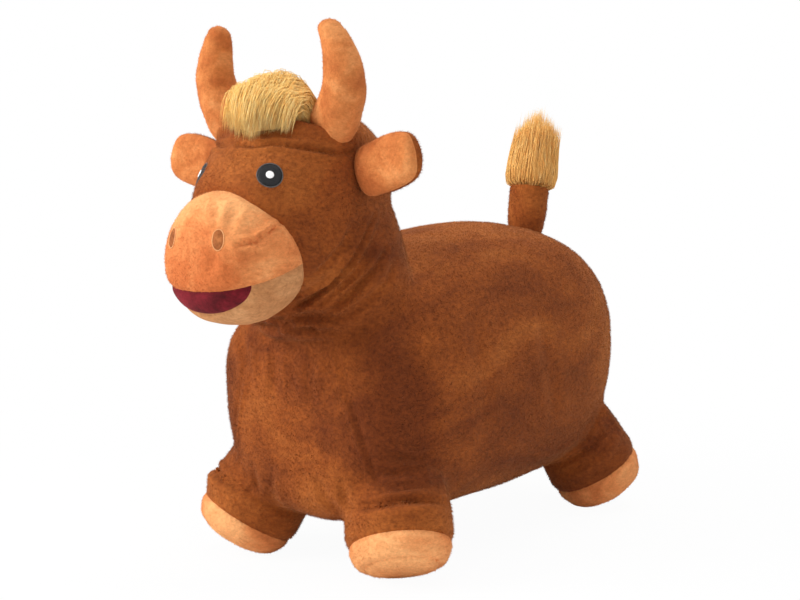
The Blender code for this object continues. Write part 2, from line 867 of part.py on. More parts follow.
def zip_slot():
    width = zip_tape_parting + zip_tooth_grip + 2 * (zip_tape_width + fit_gap)
    size = Vector((width, zip_length + 2 * fit_gap, back_height - belly_height))
    return cutter("zip_slot", box("zip_slot", size, Vector((0, zip_centre_y, belly_level()))))


def zip_level():
    """The height of the tapes' middle, halfway through the belly's plush."""
    return belly_level() + plush_thickness / 2


def tooth_row(side):
    """The plan of a tape's edge cord with its teeth, which stop short of the other tape's cord."""
    usable = zip_length - 2 * zip_stop_length
    count = int(usable / zip_tooth_pitch)
    spare = usable - count * zip_tooth_pitch
    first = zip_centre_y - usable / 2 + spare / 2 + (zip_tooth_pitch / 2 if side < 0 else 0)
    inner, tip = side * zip_tape_parting / 2, -side * zip_tooth_reach
    outer = inner + side * zip_tooth_grip
    low, high = zip_centre_y - usable / 2, zip_centre_y + usable / 2
    plan = [(outer, high), (outer, low), (inner, low)]
    for index in range(count):
        start = first + index * zip_tooth_pitch
        stop = start + zip_tooth_length
        plan += [(inner, start), (tip, start + zip_tooth_taper)]
        plan += [(tip, stop - zip_tooth_taper), (inner, stop)]
    return plan + [(inner, high)]


def slab(name, plan, thickness, level):
    """A flat plan given a thickness, half of it over and half under its level."""

    def rise(bm):
        corners = [bm.verts.new((x, y, level - thickness / 2)) for x, y in plan]
        top = bmesh.ops.extrude_face_region(bm, geom=[bm.faces.new(corners)])["geom"]
        raised = [part for part in top if isinstance(part, bmesh.types.BMVert)]
        bmesh.ops.translate(bm, vec=Z * thickness, verts=raised)

    return mesh_from(name, rise)


def zip_tapes():
    """Two tapes whose teeth pass between each other's."""
    for word, side in SIDES.items():
        edge = zip_tape_parting / 2 + zip_tooth_grip / 2
        size = Vector((zip_tape_width, zip_length, zip_tape_thickness))
        middle = Vector((side * (edge + zip_tape_width / 2), zip_centre_y, zip_level()))
        tape = piece(f"zip_tape_{word}", box("tape", size, middle), zip_brown)
        teeth = slab("teeth", tooth_row(side), zip_tooth_height, zip_level())
        boolean(tape, cutter(f"zip_teeth_{word}", teeth), "UNION")


def zip_stops():
    """A block under both tapes at each end of the teeth."""
    top = zip_level() - zip_tape_thickness / 2 - fit_gap
    size = Vector((zip_stop_width, zip_stop_length / 2, zip_tooth_height))
    for word, way in ENDS.items():
        y = zip_centre_y + way * (zip_length - zip_stop_length) / 2
        piece(f"zip_stop_{word}", box("stop", size, Vector((0, y, top - size.z / 2))), zip_metal, 0.35, 1.0)


def slider_rest_y():
    """The zip is closed, with its slider at the front end, between the front legs."""
    return zip_centre_y - zip_length / 2 + zip_stop_length + slider_length / 2


def zip_slider_pieces():
    """A slider that straddles the teeth, with a bail that the pull hangs and swings on."""
    top = zip_level() - zip_tooth_height / 2 - fit_gap
    shoulder = zip_level() - zip_tape_thickness / 2 - fit_gap
    bottom = top - slider_plate
    y = slider_rest_y()
    plate = Vector((slider_width, slider_length, shoulder - bottom))
    body = box("slider", plate, Vector((0, y, (shoulder + bottom) / 2)))
    slider = piece("zip_slider", body, zip_metal, 0.35, 1.0)
    channel_width = zip_tape_parting + 2 * (zip_tooth_grip + fit_gap)
    channel = Vector((channel_width, 2 * slider_length, 2 * (shoulder - top)))
    cut(slider, cutter("slider_channel", box("channel", channel, Vector((0, y, shoulder)))))
    outer, inner = bail_outer_radius, bail_inner_radius
    drop = outer - slider_plate / 2
    pin = Vector((0, y, bottom - drop))
    cheek = Vector((bail_width, 2 * outer, outer))
    gap = Vector((2 * bail_width, 2 * inner, drop))
    boolean(slider, cutter("bail", cylinder("bail", (outer, outer), bail_width, pin, X)), "UNION")
    boolean(slider, cutter("bail_cheek", box("cheek", cheek, pin + Z * cheek.z / 2)), "UNION")
    cut(slider, cutter("bail_eye", cylinder("eye", (inner, inner), 2 * bail_width, pin, X)))
    cut(slider, cutter("bail_gap", box("gap", gap, pin + Z * gap.z / 2)))
    bar = pull_thickness / 2
    size = Vector((pull_width, pull_thickness, pull_length))
    pull = piece("zip_pull", box("pull", size, pin + Z * (bar - size.z / 2)), zip_metal, 0.35, 1.0)
    rounding = pull.modifiers.new("rounded corners", "BEVEL")
    rounding.width = pull_rounding
    rounding.segments = 3
    rounding.limit_method = "WEIGHT"
    weights = pull.data.attributes.new("bevel_weight_edge", "FLOAT", "EDGE")
    for edge in pull.data.edges:
        ends = [pull.data.vertices[i].co for i in edge.vertices]
        low = all(end.z < pin.z - pull_length / 2 for end in ends)
        weights.data[edge.index].value = 1.0 if low and abs((ends[0] - ends[1]).y) > 0 else 0.0
    window_top, window_low = -bar, -(outer + pull_clearance)
    window = Vector((bail_width + 2 * pull_clearance, 4 * pull_thickness, window_top - window_low))
    cut(pull, cutter("pull_window", box("window", window, pin + Z * (window_top + window_low) / 2)))
    carry(joint_empty("zip_slide", Vector((0, y, bottom))), slider)
    carry(joint_empty("zip_pull_hinge", pin), pull)


def centre_between_ends():
    """Put the origin midway between the muzzle and whichever of rump and hind feet reaches furthest."""
    forms = [muzzle.outer, torso.outer, legs["hind", "left"].outer]
    reach = [vertex.co.y for form in forms for vertex in form.vertices]
    shift = -(min(reach) + max(reach)) / 2
    for group in (toy, cutters):
        for thing in group.objects:
            if thing.parent is None:
                thing.location.y += shift


torso_panels(zip_slot())
leg_pieces()
head_pieces()
muzzle_pieces()
face_patches()
horn_pieces()
ear_pieces()
forelock_piece()
tail_pieces()
bladder_pieces()
zip_tapes()
zip_stops()
zip_slider_pieces()
centre_between_ends()
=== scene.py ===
"""Looks of the bouncy ride-on bull: plush cover, long hair, felt face, belly zip, light and camera.

The cover is one skin drawn over smooth forms, creased, then cut into its sewn panels.
"""

import math

import bmesh
import bpy
import numpy as np
from mathutils import Matrix, Vector, noise
from mathutils.bvhtree import BVHTree
from mathutils.kdtree import KDTree

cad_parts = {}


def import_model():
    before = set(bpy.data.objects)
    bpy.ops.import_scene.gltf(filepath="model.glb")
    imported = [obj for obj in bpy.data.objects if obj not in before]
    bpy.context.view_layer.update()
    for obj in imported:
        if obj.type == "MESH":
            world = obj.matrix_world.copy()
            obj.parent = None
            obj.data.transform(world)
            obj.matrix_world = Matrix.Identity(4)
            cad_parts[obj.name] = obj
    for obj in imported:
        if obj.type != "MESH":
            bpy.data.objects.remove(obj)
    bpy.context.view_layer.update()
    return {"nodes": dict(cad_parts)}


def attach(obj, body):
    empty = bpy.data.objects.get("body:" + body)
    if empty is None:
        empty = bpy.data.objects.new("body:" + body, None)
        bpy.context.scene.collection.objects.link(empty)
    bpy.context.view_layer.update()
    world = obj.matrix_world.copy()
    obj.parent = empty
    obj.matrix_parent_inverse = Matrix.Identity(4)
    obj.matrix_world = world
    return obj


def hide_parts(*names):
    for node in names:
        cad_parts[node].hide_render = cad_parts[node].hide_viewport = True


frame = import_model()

# Picture and camera
picture_width, picture_height = 800, 600
focal_pixels = 1487
sensor_width = 36
camera_place = Vector((0.842, -1.1596, 0.378))
camera_back = Vector((0.584, -0.8057, 0.0993)).normalized()
camera_right = Vector((0.81, 0.587, 0)).normalized()
camera_up = camera_back.cross(camera_right)

# Fabric
cover_voxel = 0.0024
cover_thickness = 0.0030
bladder_clearance, bladder_search = 0.0006, 0.012
seam_depth, seam_width = 0.0016, 0.0026
ease_height, ease_width = 0.0010, 0.009
pile_length, pile_width = 0.0025, 0.00022
pile_per_area = 349650

# Soft forms as rings: middle, way along, half width, height above, depth below
rearward = (0, 1, 0)
neck_way = (0, -0.1325, 0.9912)
torso_rings = [
    ((0, y, 0.175), rearward, width, above, below)
    for y, width, above, below in (
        (-0.1636, 0.0680, 0.0331, 0.0911),
        (-0.1436, 0.1008, 0.0635, 0.1297),
        (-0.0792, 0.1235, 0.1035, 0.1380),
        (0.0495, 0.1260, 0.1297, 0.1380),
        (0.1783, 0.1260, 0.1339, 0.1366),
        (0.2582, 0.1008, 0.0911, 0.1159),
        (0.2804, 0.0630, 0.0524, 0.0745),
    )
]
neck_rings = [
    ((0, y, z), neck_way, width, deep, deep)
    for y, z, width, deep in (
        (-0.1026, 0.2000, 0.0934, 0.0775),
        (-0.1152, 0.2946, 0.0766, 0.0639),
        (-0.1256, 0.3720, 0.0584, 0.0496),
    )
]
head_rings = [
    ((0, y, z), rearward, width, above, below)
    for y, z, width, above, below in (
        (-0.0756, 0.3370, 0.0441, 0.0462, 0.0462),
        (-0.0990, 0.3370, 0.0684, 0.0756, 0.0731),
        (-0.1656, 0.3353, 0.0798, 0.0890, 0.0857),
        (-0.2304, 0.3236, 0.0505, 0.0575, 0.0588),
        (-0.2556, 0.3168, 0.0330, 0.0330, 0.0319),
    )
]
muzzle_rings = [
    ((0, y, 0.2910), rearward, width, high, high)
    for y, width, high in (
        (-0.2866, 0.0271, 0.0274),
        (-0.2720, 0.0475, 0.0494),
        (-0.2284, 0.0605, 0.0637),
        (-0.1746, 0.0441, 0.0464),
    )
]
leg_splay = Vector((-0.3611, 0.3611, 0.8598)).normalized()
leg_start = 0.0113
leg_rings = ((leg_start, 0.0291), (0.0221, 0.0461), (0.0713, 0.0490), (0.1150, 0.0400))
foot_places = {"front": Vector((0.099, -0.1306, leg_start)), "hind": Vector((0.099, 0.2514, leg_start))}
hoof_tops = {"front": 0.037, "hind": 0.044}
sole_top = 0.016
horn_rings = (
    ((0.0425, -0.1668, 0.3812), (0.5601, -0.1107, 0.8210), 0.0222),
    ((0.0634, -0.1724, 0.4113), (0.4800, -0.1172, 0.8694), 0.0210),
    ((0.0765, -0.1766, 0.4425), (0.0199, -0.1336, 0.9908), 0.0180),
    ((0.0646, -0.1809, 0.4745), (-0.3966, -0.1227, 0.9098), 0.0125),
    ((0.0571, -0.1826, 0.4870), (-0.5133, -0.1147, 0.8505), 0.0075),
)
ear_way = Vector((0.9519, -0.1338, 0.2756)).normalized()
ear_upright = Vector((-0.2730, 0.0384, 0.9613)).normalized()
ear_hinge = (0.0804, -0.1556, 0.3610)
ear_rings = (
    ((0.0690, -0.1540, 0.3577), 0.0238, 0.0098),
    ((0.0931, -0.1574, 0.3648), 0.0232, 0.0124),
    ((0.1233, -0.1616, 0.3735), 0.0252, 0.0143),
    ((0.1384, -0.1638, 0.3779), 0.0155, 0.0092),
)
tail_way = Vector((0, 0.1908, 0.9816)).normalized()
tail_rings = (
    ((0, 0.2325, 0.2775), 0.0097),
    ((0, 0.2351, 0.2907), 0.0201),
    ((0, 0.2413, 0.3224), 0.0207),
    ((0, 0.2486, 0.3599), 0.0215),
)

# Lines where the cover is cut: the mouth's slit, the lips' oval, the chest's seam
mouth_front, mouth_rise = (0, -0.2866, 0.2635), math.radians(15)
lips_height, lips_half_width, lips_half_height = 0.2735, 0.0445, 0.0290
chest_seam_middle, chest_seam_lean = (0, -0.0576, 0.175), math.radians(9)

# Belly zip
zip_middle, zip_level, zip_half_length = 0.0504, 0.03924, 0.075
opening_half_width, opening_half_length, opening_top = 0.0112, 0.0753, 0.08
tooth_pitch, tooth_length = 0.0048, 0.0020

SIDES = {"left": 1, "right": -1}


def deselect():
    bpy.ops.object.select_all(action="DESELECT")


def only(thing):
    deselect()
    thing.select_set(True)
    bpy.context.view_layer.objects.active = thing
    return thing


def applied(thing, kind, **settings):
    """The object with a modifier of this kind applied to its mesh."""
    only(thing)
    step = thing.modifiers.new(kind.lower(), kind)
    for word, value in settings.items():
        setattr(step, word, value)
    bpy.ops.object.modifier_apply(modifier=step.name)
    return thing


def named(name):
    thing = bpy.context.object
    thing.name = thing.data.name = name
    return thing


def in_place(thing):
    """The object with its place, turn and size moved into its mesh."""
    only(thing)
    bpy.ops.object.transform_apply(location=True, rotation=True, scale=True)
    return thing


def edited(thing, *steps):
    """Runs operators on the whole mesh in edit mode."""
    only(thing)
    bpy.ops.object.mode_set(mode="EDIT")
    bpy.ops.mesh.select_all(action="SELECT")
    for step in steps:
        step()
    bpy.ops.object.mode_set(mode="OBJECT")
    return thing


def outward():
    bpy.ops.mesh.normals_make_consistent(inside=False)


def points_of(mesh, what="co"):
    source = mesh.vertices if what == "co" else mesh.vertex_normals
    flat = np.empty(len(source) * 3)
    source.foreach_get("co" if what == "co" else "vector", flat)
    return flat.reshape(-1, 3)


def put_points(mesh, spots):
    mesh.vertices.foreach_set("co", spots.ravel())
    mesh.update()


def tree_of(thing):
    """The mesh as it stands in the scene, for finding its nearest spots."""
    verts = [thing.matrix_world @ vert.co for vert in thing.data.vertices]
    return BVHTree.FromPolygons(verts, [face.vertices for face in thing.data.polygons])


def lumpy(places, ways, scale, height):
    """The uneven surface that stuffing gives."""
    lumps = np.array([noise.noise(Vector(spot) * scale) for spot in places])
    return places + ways * (height * lumps)[:, None]


# Smooth forms


def ring_cage(ring, across, points, squareness):
    """Cage points that subdivision brings to rest on a rounded oval."""
    centre, along, half_width, rise, fall = ring
    across = Vector(across)
    up = across.cross(Vector(along)).normalized()
    spots = []
    for step in range(points):
        turn = 2 * math.pi * step / points
        side = math.copysign(abs(math.cos(turn)) ** (2 / squareness), math.cos(turn))
        height = math.copysign(abs(math.sin(turn)) ** (2 / squareness), math.sin(turn))
        reach = rise if height > 0 else fall
        spots.append(Vector(centre) + across * side * half_width + up * height * reach)
    itself = np.eye(points)
    beside = np.roll(itself, 1, axis=0) + np.roll(itself, -1, axis=0)
    return np.linalg.solve((4 * itself + beside) / 6, np.array(spots))


def soft_form(name, rings, across=(1, 0, 0), points=12, squareness=2.0, levels=3):
    """A filled circle, extruded from ring to ring and smoothed."""
    deselect()
    bpy.ops.mesh.primitive_circle_add(vertices=points, fill_type="NGON")
    form = named(name)
    bpy.ops.object.mode_set(mode="EDIT")
    places = {}
    for index, ring in enumerate(rings):
        if index:
            bpy.ops.mesh.extrude_region_move()
        shape = bmesh.from_edit_mesh(form.data)
        shape.verts.ensure_lookup_table()
        moving = [v for v in shape.verts if v.select]
        order = {vert: places.get(tuple(vert.co), vert.index) for vert in moving}
        cage = ring_cage(ring, across, points, squareness)
        for vert, step in order.items():
            vert.co = cage[step]
        places = {tuple(vert.co): step for vert, step in order.items()}
        bmesh.update_edit_mesh(form.data)
    bpy.ops.mesh.select_all(action="SELECT")
    outward()
    bpy.ops.object.mode_set(mode="OBJECT")
    return applied(form, "SUBSURF", levels=levels, render_levels=levels)


def round_rings(rings, along=None):
    """Rings with the same reach all round."""
    return [(*(r if along is None else (r[0], along, r[1])), r[-1], r[-1]) for r in rings]


def mirrored(thing, name):
    """A copy of a left piece for the right side."""
    only(thing)
    bpy.ops.object.duplicate()
    copy = named(name)
    spots = points_of(copy.data)
    spots[:, 0] *= -1
    put_points(copy.data, spots)
    copy.data.flip_normals()
    return copy


def leg_form(end, side):
    way = -1 if end == "front" else 1
    axis = Vector((leg_splay.x * side, leg_splay.y * -way, leg_splay.z))
    across = axis.cross(Vector((side, way, 0))).normalized()
    foot = Vector((foot_places[end].x * side, foot_places[end].y, foot_places[end].z))
    rings = [(foot + axis * (out - leg_start), axis, radius, radius, radius) for out, radius in leg_rings]
    return soft_form(f"{end}_leg", rings, across, points=8), foot, axis


# Materials


def add_node(tree, kind, sockets=None, **settings):
    """A node with its settings made and its sockets given values or linked."""
    made = tree.nodes.new(kind)
    for word, value in settings.items():
        setattr(made, word, value)
    for word, value in (sockets or {}).items():
        if isinstance(value, bpy.types.NodeSocket):
            tree.links.new(value, made.inputs[word])
        else:
            made.inputs[word].default_value = value
    return made


class Finish:
    """A Principled material built a node at a time on the piece's own coordinates."""

    def __init__(self, name, roughness, metallic=0.0, coat=0.0, sheen=0.0, tint=(1, 1, 1), sheen_roughness=0.5):
        self.material = bpy.data.materials.new(name)
        self.material.use_nodes = True
        self.tree = self.material.node_tree
        self.shader = self.tree.nodes["Principled BSDF"]
        for socket, value in (
            ("Roughness", roughness),
            ("Metallic", metallic),
            ("Sheen Weight", sheen),
            ("Sheen Roughness", sheen_roughness),
            ("Sheen Tint", (*tint, 1)),
            ("Coat Weight", coat),
            ("Specular IOR Level", 0.5 if metallic or coat else 0.25),
        ):
            self.shader.inputs[socket].default_value = value
        self.place = self.node("ShaderNodeTexCoord").outputs["Object"]

    def node(self, kind, sockets=None, **settings):
        return add_node(self.tree, kind, sockets, **settings)

    def stretched(self, scale):
        return self.node("ShaderNodeMapping", {"Vector": self.place, "Scale": scale}).outputs["Vector"]

    def noise(self, scale, stretch=(1, 1, 1), detail=2.0, roughness=0.5, distortion=0.0):
        sockets = {
            "Vector": self.stretched(stretch),
            "Scale": scale,
            "Detail": detail,
            "Roughness": roughness,
            "Distortion": distortion,
        }
        return self.node("ShaderNodeTexNoise", sockets).outputs[0]

    def steps(self, factor, *stops):
        """A colour ramp through (place, colour) stops."""
        made = self.node("ShaderNodeValToRGB", {"Fac": factor})
        band = made.color_ramp.elements
        while len(band) < len(stops):
            band.new(0.5)
        for element, (place, colour) in zip(band, stops):
            element.position = place
            element.color = (*colour, 1) if len(colour) == 3 else colour
        return made.outputs["Color"]

    def mixed(self, factor, first, second, blend="MIX"):
        made = self.node("ShaderNodeMix", data_type="RGBA", blend_type=blend)
        for slot, value in ((0, factor), (6, first), (7, second)):
            if isinstance(value, bpy.types.NodeSocket):
                self.tree.links.new(value, made.inputs[slot])
            else:
                made.inputs[slot].default_value = (*value, 1) if slot and len(value) == 3 else value
        return made.outputs[2]

    def times(self, first, second, force=1.0):
        return self.mixed(force, first, second, "MULTIPLY")

    def summed(self, first, second, operation="ADD"):
        return self.node("ShaderNodeMath", {0: first, 1: second}, operation=operation).outputs[0]

    def bumps(self, height, strength, distance):
        made = self.node("ShaderNodeBump", {"Height": height, "Strength": strength, "Distance": distance})
        self.tree.links.new(made.outputs["Normal"], self.shader.inputs["Normal"])

    def coloured(self, colour):
        if isinstance(colour, bpy.types.NodeSocket):
            self.tree.links.new(colour, self.shader.inputs["Base Color"])
        else:
            self.shader.inputs["Base Color"].default_value = (*colour, 1)
        return self.material


nap_comb = (1, 0.5, 1)
nap_sheen, nap_tint = 0.30, (0.85, 0.38, 0.14)


def nap_with_painted_shading(finish, patch, painted_light_and_shade):
    """Which way the pile lies, as brushed clouds, with painted light and shade in listed places, alike on both
    sides.
    """
    nap_and_painted_shading = finish.noise(patch, stretch=nap_comb, detail=3, roughness=0.55, distortion=0.6)
    parts = finish.node("ShaderNodeSeparateXYZ", {0: finish.place}).outputs
    sockets = {0: finish.summed(parts[0], 0.0, "ABSOLUTE"), 1: parts[1], 2: parts[2]}
    folded = finish.node("ShaderNodeCombineXYZ", sockets).outputs[0]
    # Painted light and shade: each listed spot makes the pile lighter or darker around it
    for centre, reach, strength in painted_light_and_shade:
        away = finish.node("ShaderNodeVectorMath", {0: folded, 1: centre}, operation="DISTANCE")
        sockets = {"Value": away.outputs["Value"], "From Max": reach, "To Min": strength, "To Max": 0.0}
        shift = finish.node("ShaderNodeMapRange", sockets, interpolation_type="SMOOTHSTEP")
        nap_and_painted_shading = finish.summed(nap_and_painted_shading, shift.outputs[0])
    return nap_and_painted_shading


def pile_colours(finish, tones, patch, painted_light_and_shade, speckle):
    """Brushed patches with painted light and shade, in three tones, with fine dashes where small tufts stand or
    lie.
    """
    base = finish.steps(nap_with_painted_shading(finish, patch, painted_light_and_shade), *zip((0.30, 0.50, 0.72), tones))
    tufts = finish.noise(330, stretch=nap_comb, detail=2, roughness=0.65)
    lying, level, standing = (0.74, 0.70, 0.66), (0.98, 0.98, 0.98), (1.20, 1.22, 1.24)
    shade = finish.steps(tufts, (0.30, lying), (0.50, level), (0.70, standing))
    return finish.times(base, shade, speckle)


def plush(name, tones, patch=13, painted_light_and_shade=(), tint=nap_tint, speckle=1.0):
    """Short pile seen as cloth: its colours with painted light and shade, fine hairs along the comb, and a soft
    sheen.
    """
    finish = Finish(name, 0.95, sheen=nap_sheen, tint=tint, sheen_roughness=0.35)
    hairs = finish.noise(760, stretch=nap_comb, detail=3, roughness=0.7)
    strands = finish.steps(hairs, (0.25, (0.86, 0.84, 0.82)), (0.75, (1.10, 1.10, 1.10)))
    finish.bumps(hairs, 0.25, 0.0010)
    return finish.coloured(finish.times(pile_colours(finish, tones, patch, painted_light_and_shade, speckle), strands))


def pile(name, tones, patch=13, painted_light_and_shade=(), speckle=1.0):
    """The hairs that stand on a plush, in the plush's own colours with its painted light and shade."""
    finish = Finish(name, 0.9, sheen=nap_sheen, tint=nap_tint, sheen_roughness=0.35)
    single = finish.noise(900, detail=1)
    shade = finish.steps(single, (0.32, (0.80, 0.78, 0.75)), (0.62, (1.12, 1.11, 1.09)))
    return finish.coloured(finish.times(pile_colours(finish, tones, patch, painted_light_and_shade, speckle), shade))


def hair_finish(name, root, middle, tip):
    finish = Finish(name, 0.8, sheen=0.5, tint=(1.0, 0.62, 0.22), sheen_roughness=0.6)
    locks = finish.noise(260, stretch=(1, 1, 0.16), detail=3, roughness=0.65)
    base = finish.steps(locks, (0.30, root), (0.50, middle), (0.72, tip))
    single = finish.noise(1400, stretch=(1, 1, 0.2), detail=1)
    shade = finish.steps(single, (0.3, (0.88, 0.86, 0.80)), (0.7, (1.12, 1.12, 1.12)))
    return finish.coloured(finish.times(base, shade))


def stitched(name, dark, light, scale, roughness=0.6):
    """Close rows of satin thread."""
    finish = Finish(name, roughness, sheen=0.15, tint=light)
    threads = finish.noise(scale, stretch=(1, 0.2, 1), detail=2)
    finish.bumps(threads, 0.5, 0.0005)
    return finish.coloured(finish.steps(threads, (0.3, dark), (0.7, light)))


def vinyl(name, dark, light):
    finish = Finish(name, 0.38, coat=0.2)
    cloud = finish.noise(24, detail=3)
    grain = finish.noise(900, detail=2)
    finish.bumps(grain, 0.2, 0.0003)
    return finish.coloured(finish.steps(cloud, (0.35, dark), (0.65, light)))


def satin_metal(name, dark, light):
    finish = Finish(name, 0.32, metallic=1.0)
    wear = finish.noise(420, stretch=(1, 0.15, 1), detail=3)
    finish.bumps(wear, 0.15, 0.0002)
    return finish.coloured(finish.steps(wear, (0.3, dark), (0.7, light)))


def woven(name, dark, light):
    """Tape with a fine twill."""
    finish = Finish(name, 0.8, sheen=0.2, tint=light)
    wave = finish.node(
        "ShaderNodeTexWave",
        {"Vector": finish.stretched((1, 1, 1)), "Scale": 260.0, "Distortion": 1.5, "Detail": 1.0},
        wave_type="BANDS",
        bands_direction="DIAGONAL",
    ).outputs[1]
    finish.bumps(wave, 0.4, 0.0004)
    return finish.coloured(finish.steps(wave, (0.3, dark), (0.7, light)))


def stuffing(name):
    finish = Finish(name, 0.95, sheen=0.3)
    wisps = finish.noise(160, detail=4, distortion=1.5)
    finish.bumps(wisps, 0.6, 0.002)
    return finish.coloured(finish.steps(wisps, (0.3, (0.68, 0.68, 0.66)), (0.7, (0.86, 0.86, 0.84))))


brown_tones = (0.155, 0.032, 0.005), (0.275, 0.066, 0.010), (0.410, 0.120, 0.022)
tan_tones = (0.560, 0.150, 0.040), (0.740, 0.265, 0.085), (0.880, 0.420, 0.165)
horn_tones = (0.460, 0.125, 0.030), (0.600, 0.200, 0.055), (0.740, 0.310, 0.105)
pale_tones = (0.430, 0.180, 0.065), (0.520, 0.240, 0.095), (0.620, 0.320, 0.140)
nostril_tones = (0.260, 0.075, 0.020), (0.340, 0.105, 0.030), (0.440, 0.150, 0.045)
mouth_tones = (0.075, 0.003, 0.006), (0.122, 0.005, 0.010), (0.190, 0.010, 0.018)
# Painted light and shade on the brown pile, the same on both sides: darker on the shoulders, chest, throat,
# neck and cheeks and low on the hind legs, lighter low on the chest, on the back, rump and brow: middle, reach,
# strength
brown_painted_light_and_shade = (
    ((0.098, -0.135, 0.170), 0.075, -0.26),
    ((0.090, -0.130, 0.100), 0.060, -0.16),
    ((0.030, -0.165, 0.235), 0.060, -0.16),
    ((0.030, -0.170, 0.150), 0.070, -0.08),
    ((0.070, -0.160, 0.075), 0.050, 0.08),
    ((0.040, 0.100, 0.310), 0.120, 0.08),
    ((0.105, 0.200, 0.200), 0.110, 0.20),
    ((0.080, -0.110, 0.280), 0.080, -0.14),
    ((0.070, -0.190, 0.310), 0.050, -0.10),
    ((0.020, -0.225, 0.375), 0.050, 0.16),
    ((0.080, 0.230, 0.070), 0.070, -0.16),
)
# Painted light and shade on the tan pile: brighter over the nostrils and on the hooves' fronts, darker low on
# the muzzle and on its side
tan_painted_light_and_shade = (
    ((0.025, -0.250, 0.340), 0.055, 0.22),
    ((0.025, -0.285, 0.280), 0.050, -0.26),
    ((0.060, -0.230, 0.285), 0.035, -0.10),
    ((0.099, -0.160, 0.020), 0.070, 0.20),
    ((0.110, 0.251, 0.020), 0.070, 0.16),
)
# Painted shade on the horn-coloured pile: darker at the ear's root and round the horn's base
horn_painted_shade = (
    ((0.088, -0.160, 0.360), 0.040, -0.22),
    ((0.055, -0.170, 0.395), 0.025, -0.10),
)
finishes = {
    "brown": plush("brown_plush", brown_tones, painted_light_and_shade=brown_painted_light_and_shade),
    "brown_pile": pile("brown_pile", brown_tones, painted_light_and_shade=brown_painted_light_and_shade),
    "tan": plush("tan_plush", tan_tones, patch=22, painted_light_and_shade=tan_painted_light_and_shade, speckle=0.5),
    "tan_pile": pile("tan_pile", tan_tones, patch=22, painted_light_and_shade=tan_painted_light_and_shade, speckle=0.5),
    "horn": plush("horn_plush", horn_tones, patch=34, painted_light_and_shade=horn_painted_shade, speckle=0.5),
    "horn_pile": pile("horn_pile", horn_tones, patch=34, painted_light_and_shade=horn_painted_shade, speckle=0.5),
    "pale": plush("pale_plush", pale_tones, patch=30, speckle=0.7),
    "mouth": plush("mouth_plush", mouth_tones, patch=60, tint=(0.6, 0.08, 0.09)),
    "hair": hair_finish("golden_hair", (0.980, 0.560, 0.160), (1.000, 0.700, 0.250), (1.000, 0.840, 0.430)),
    "tuft": hair_finish("tuft_hair", (0.840, 0.400, 0.095), (0.940, 0.540, 0.160), (0.990, 0.700, 0.300)),
    "eye": stitched("eye_charcoal", (0.004, 0.004, 0.005), (0.011, 0.011, 0.013), 700),
    "eye_edge": stitched("eye_edge_thread", (0.060, 0.055, 0.055), (0.130, 0.115, 0.105), 1200, 0.5),
    "white": stitched("eye_white", (0.780, 0.780, 0.780), (0.930, 0.930, 0.930), 700, 0.5),
    "nostril": plush("nostril_felt", nostril_tones, patch=60),
    "outline": stitched("nostril_thread", (0.640, 0.270, 0.095), (0.780, 0.380, 0.160), 1200),
    "vinyl": vinyl("bladder_vinyl", (0.560, 0.550, 0.510), (0.700, 0.690, 0.650)),
    "stuffing": stuffing("loose_stuffing"),
    "tape": woven("zip_tape", (0.070, 0.026, 0.010), (0.150, 0.058, 0.022)),
    "teeth": vinyl("zip_teeth", (0.100, 0.038, 0.016), (0.160, 0.064, 0.028)),
    "metal": satin_metal("zip_metal", (0.460, 0.440, 0.410), (0.620, 0.600, 0.570)),
}


def dressed(thing, finish, body, nodes=(), fill=None):
    """A finished piece: its material, the body it moves with and the nodes it stands for."""
    thing.data.materials.clear()
    thing.data.materials.append(finishes[finish])
    only(thing)
    if fill is None:
        bpy.ops.object.shade_smooth()
    else:
        bpy.ops.object.shade_smooth_by_angle(angle=math.radians(55))
    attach(thing, body)
    if nodes:
        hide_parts(*nodes)
    return thing


# Hair


def unit(ways):
    return ways / np.linalg.norm(ways, axis=1, keepdims=True)


def hair_mesh(name, paths, radii):
    """Three-sided hairs along paths, each closed at its root and drawn to a point at its tip."""
    count, knots, _ = paths.shape
    along = np.gradient(paths, axis=1)
    along /= np.linalg.norm(along, axis=2, keepdims=True) + 1e-12
    helper = np.eye(3)[np.abs(along).max(axis=1).argmin(axis=1)][:, None]
    side = np.cross(along, helper)
    side /= np.linalg.norm(side, axis=2, keepdims=True) + 1e-12
    other = np.cross(along, side)
    taper = 1 - np.linspace(0, 1, knots) ** 2 * 0.75
    rings = knots - 1
    spots = []
    for corner in range(3):
        turn = 2 * math.pi * corner / 3
        way = side * math.cos(turn) + other * math.sin(turn)
        spots.append(paths + way * (radii[:, None] * taper[None])[..., None])
    body = np.stack(spots, axis=2)[:, :rings].reshape(count, rings * 3, 3)
    verts = np.concatenate([body, paths[:, -1:]], axis=1)
    size = rings * 3 + 1
    faces = [(2, 1, 0)]
    for level in range(rings - 1):
        low, high = level * 3, level * 3 + 3
        for a, b in ((0, 1), (1, 2), (2, 0)):
            faces += [(low + a, low + b, high + b), (low + a, high + b, high + a)]
    top = (rings - 1) * 3
    faces += [(top + a, top + b, size - 1) for a, b in ((0, 1), (1, 2), (2, 0))]
    faces = (np.arange(count)[:, None, None] * size + np.array(faces)[None]).reshape(-1, 3)
    mesh = bpy.data.meshes.new(name)
    mesh.vertices.add(count * size)
    mesh.vertices.foreach_set("co", verts.ravel())
    mesh.loops.add(len(faces) * 3)
    mesh.loops.foreach_set("vertex_index", faces.ravel().astype(np.int32))
    mesh.polygons.add(len(faces))
    mesh.polygons.foreach_set("loop_start", np.arange(0, len(faces) * 3, 3, dtype=np.int32))
    mesh.update(calc_edges=True)
    mesh.validate()
    thing = bpy.data.objects.new(name, mesh)
    bpy.context.scene.collection.objects.link(thing)
    return thing


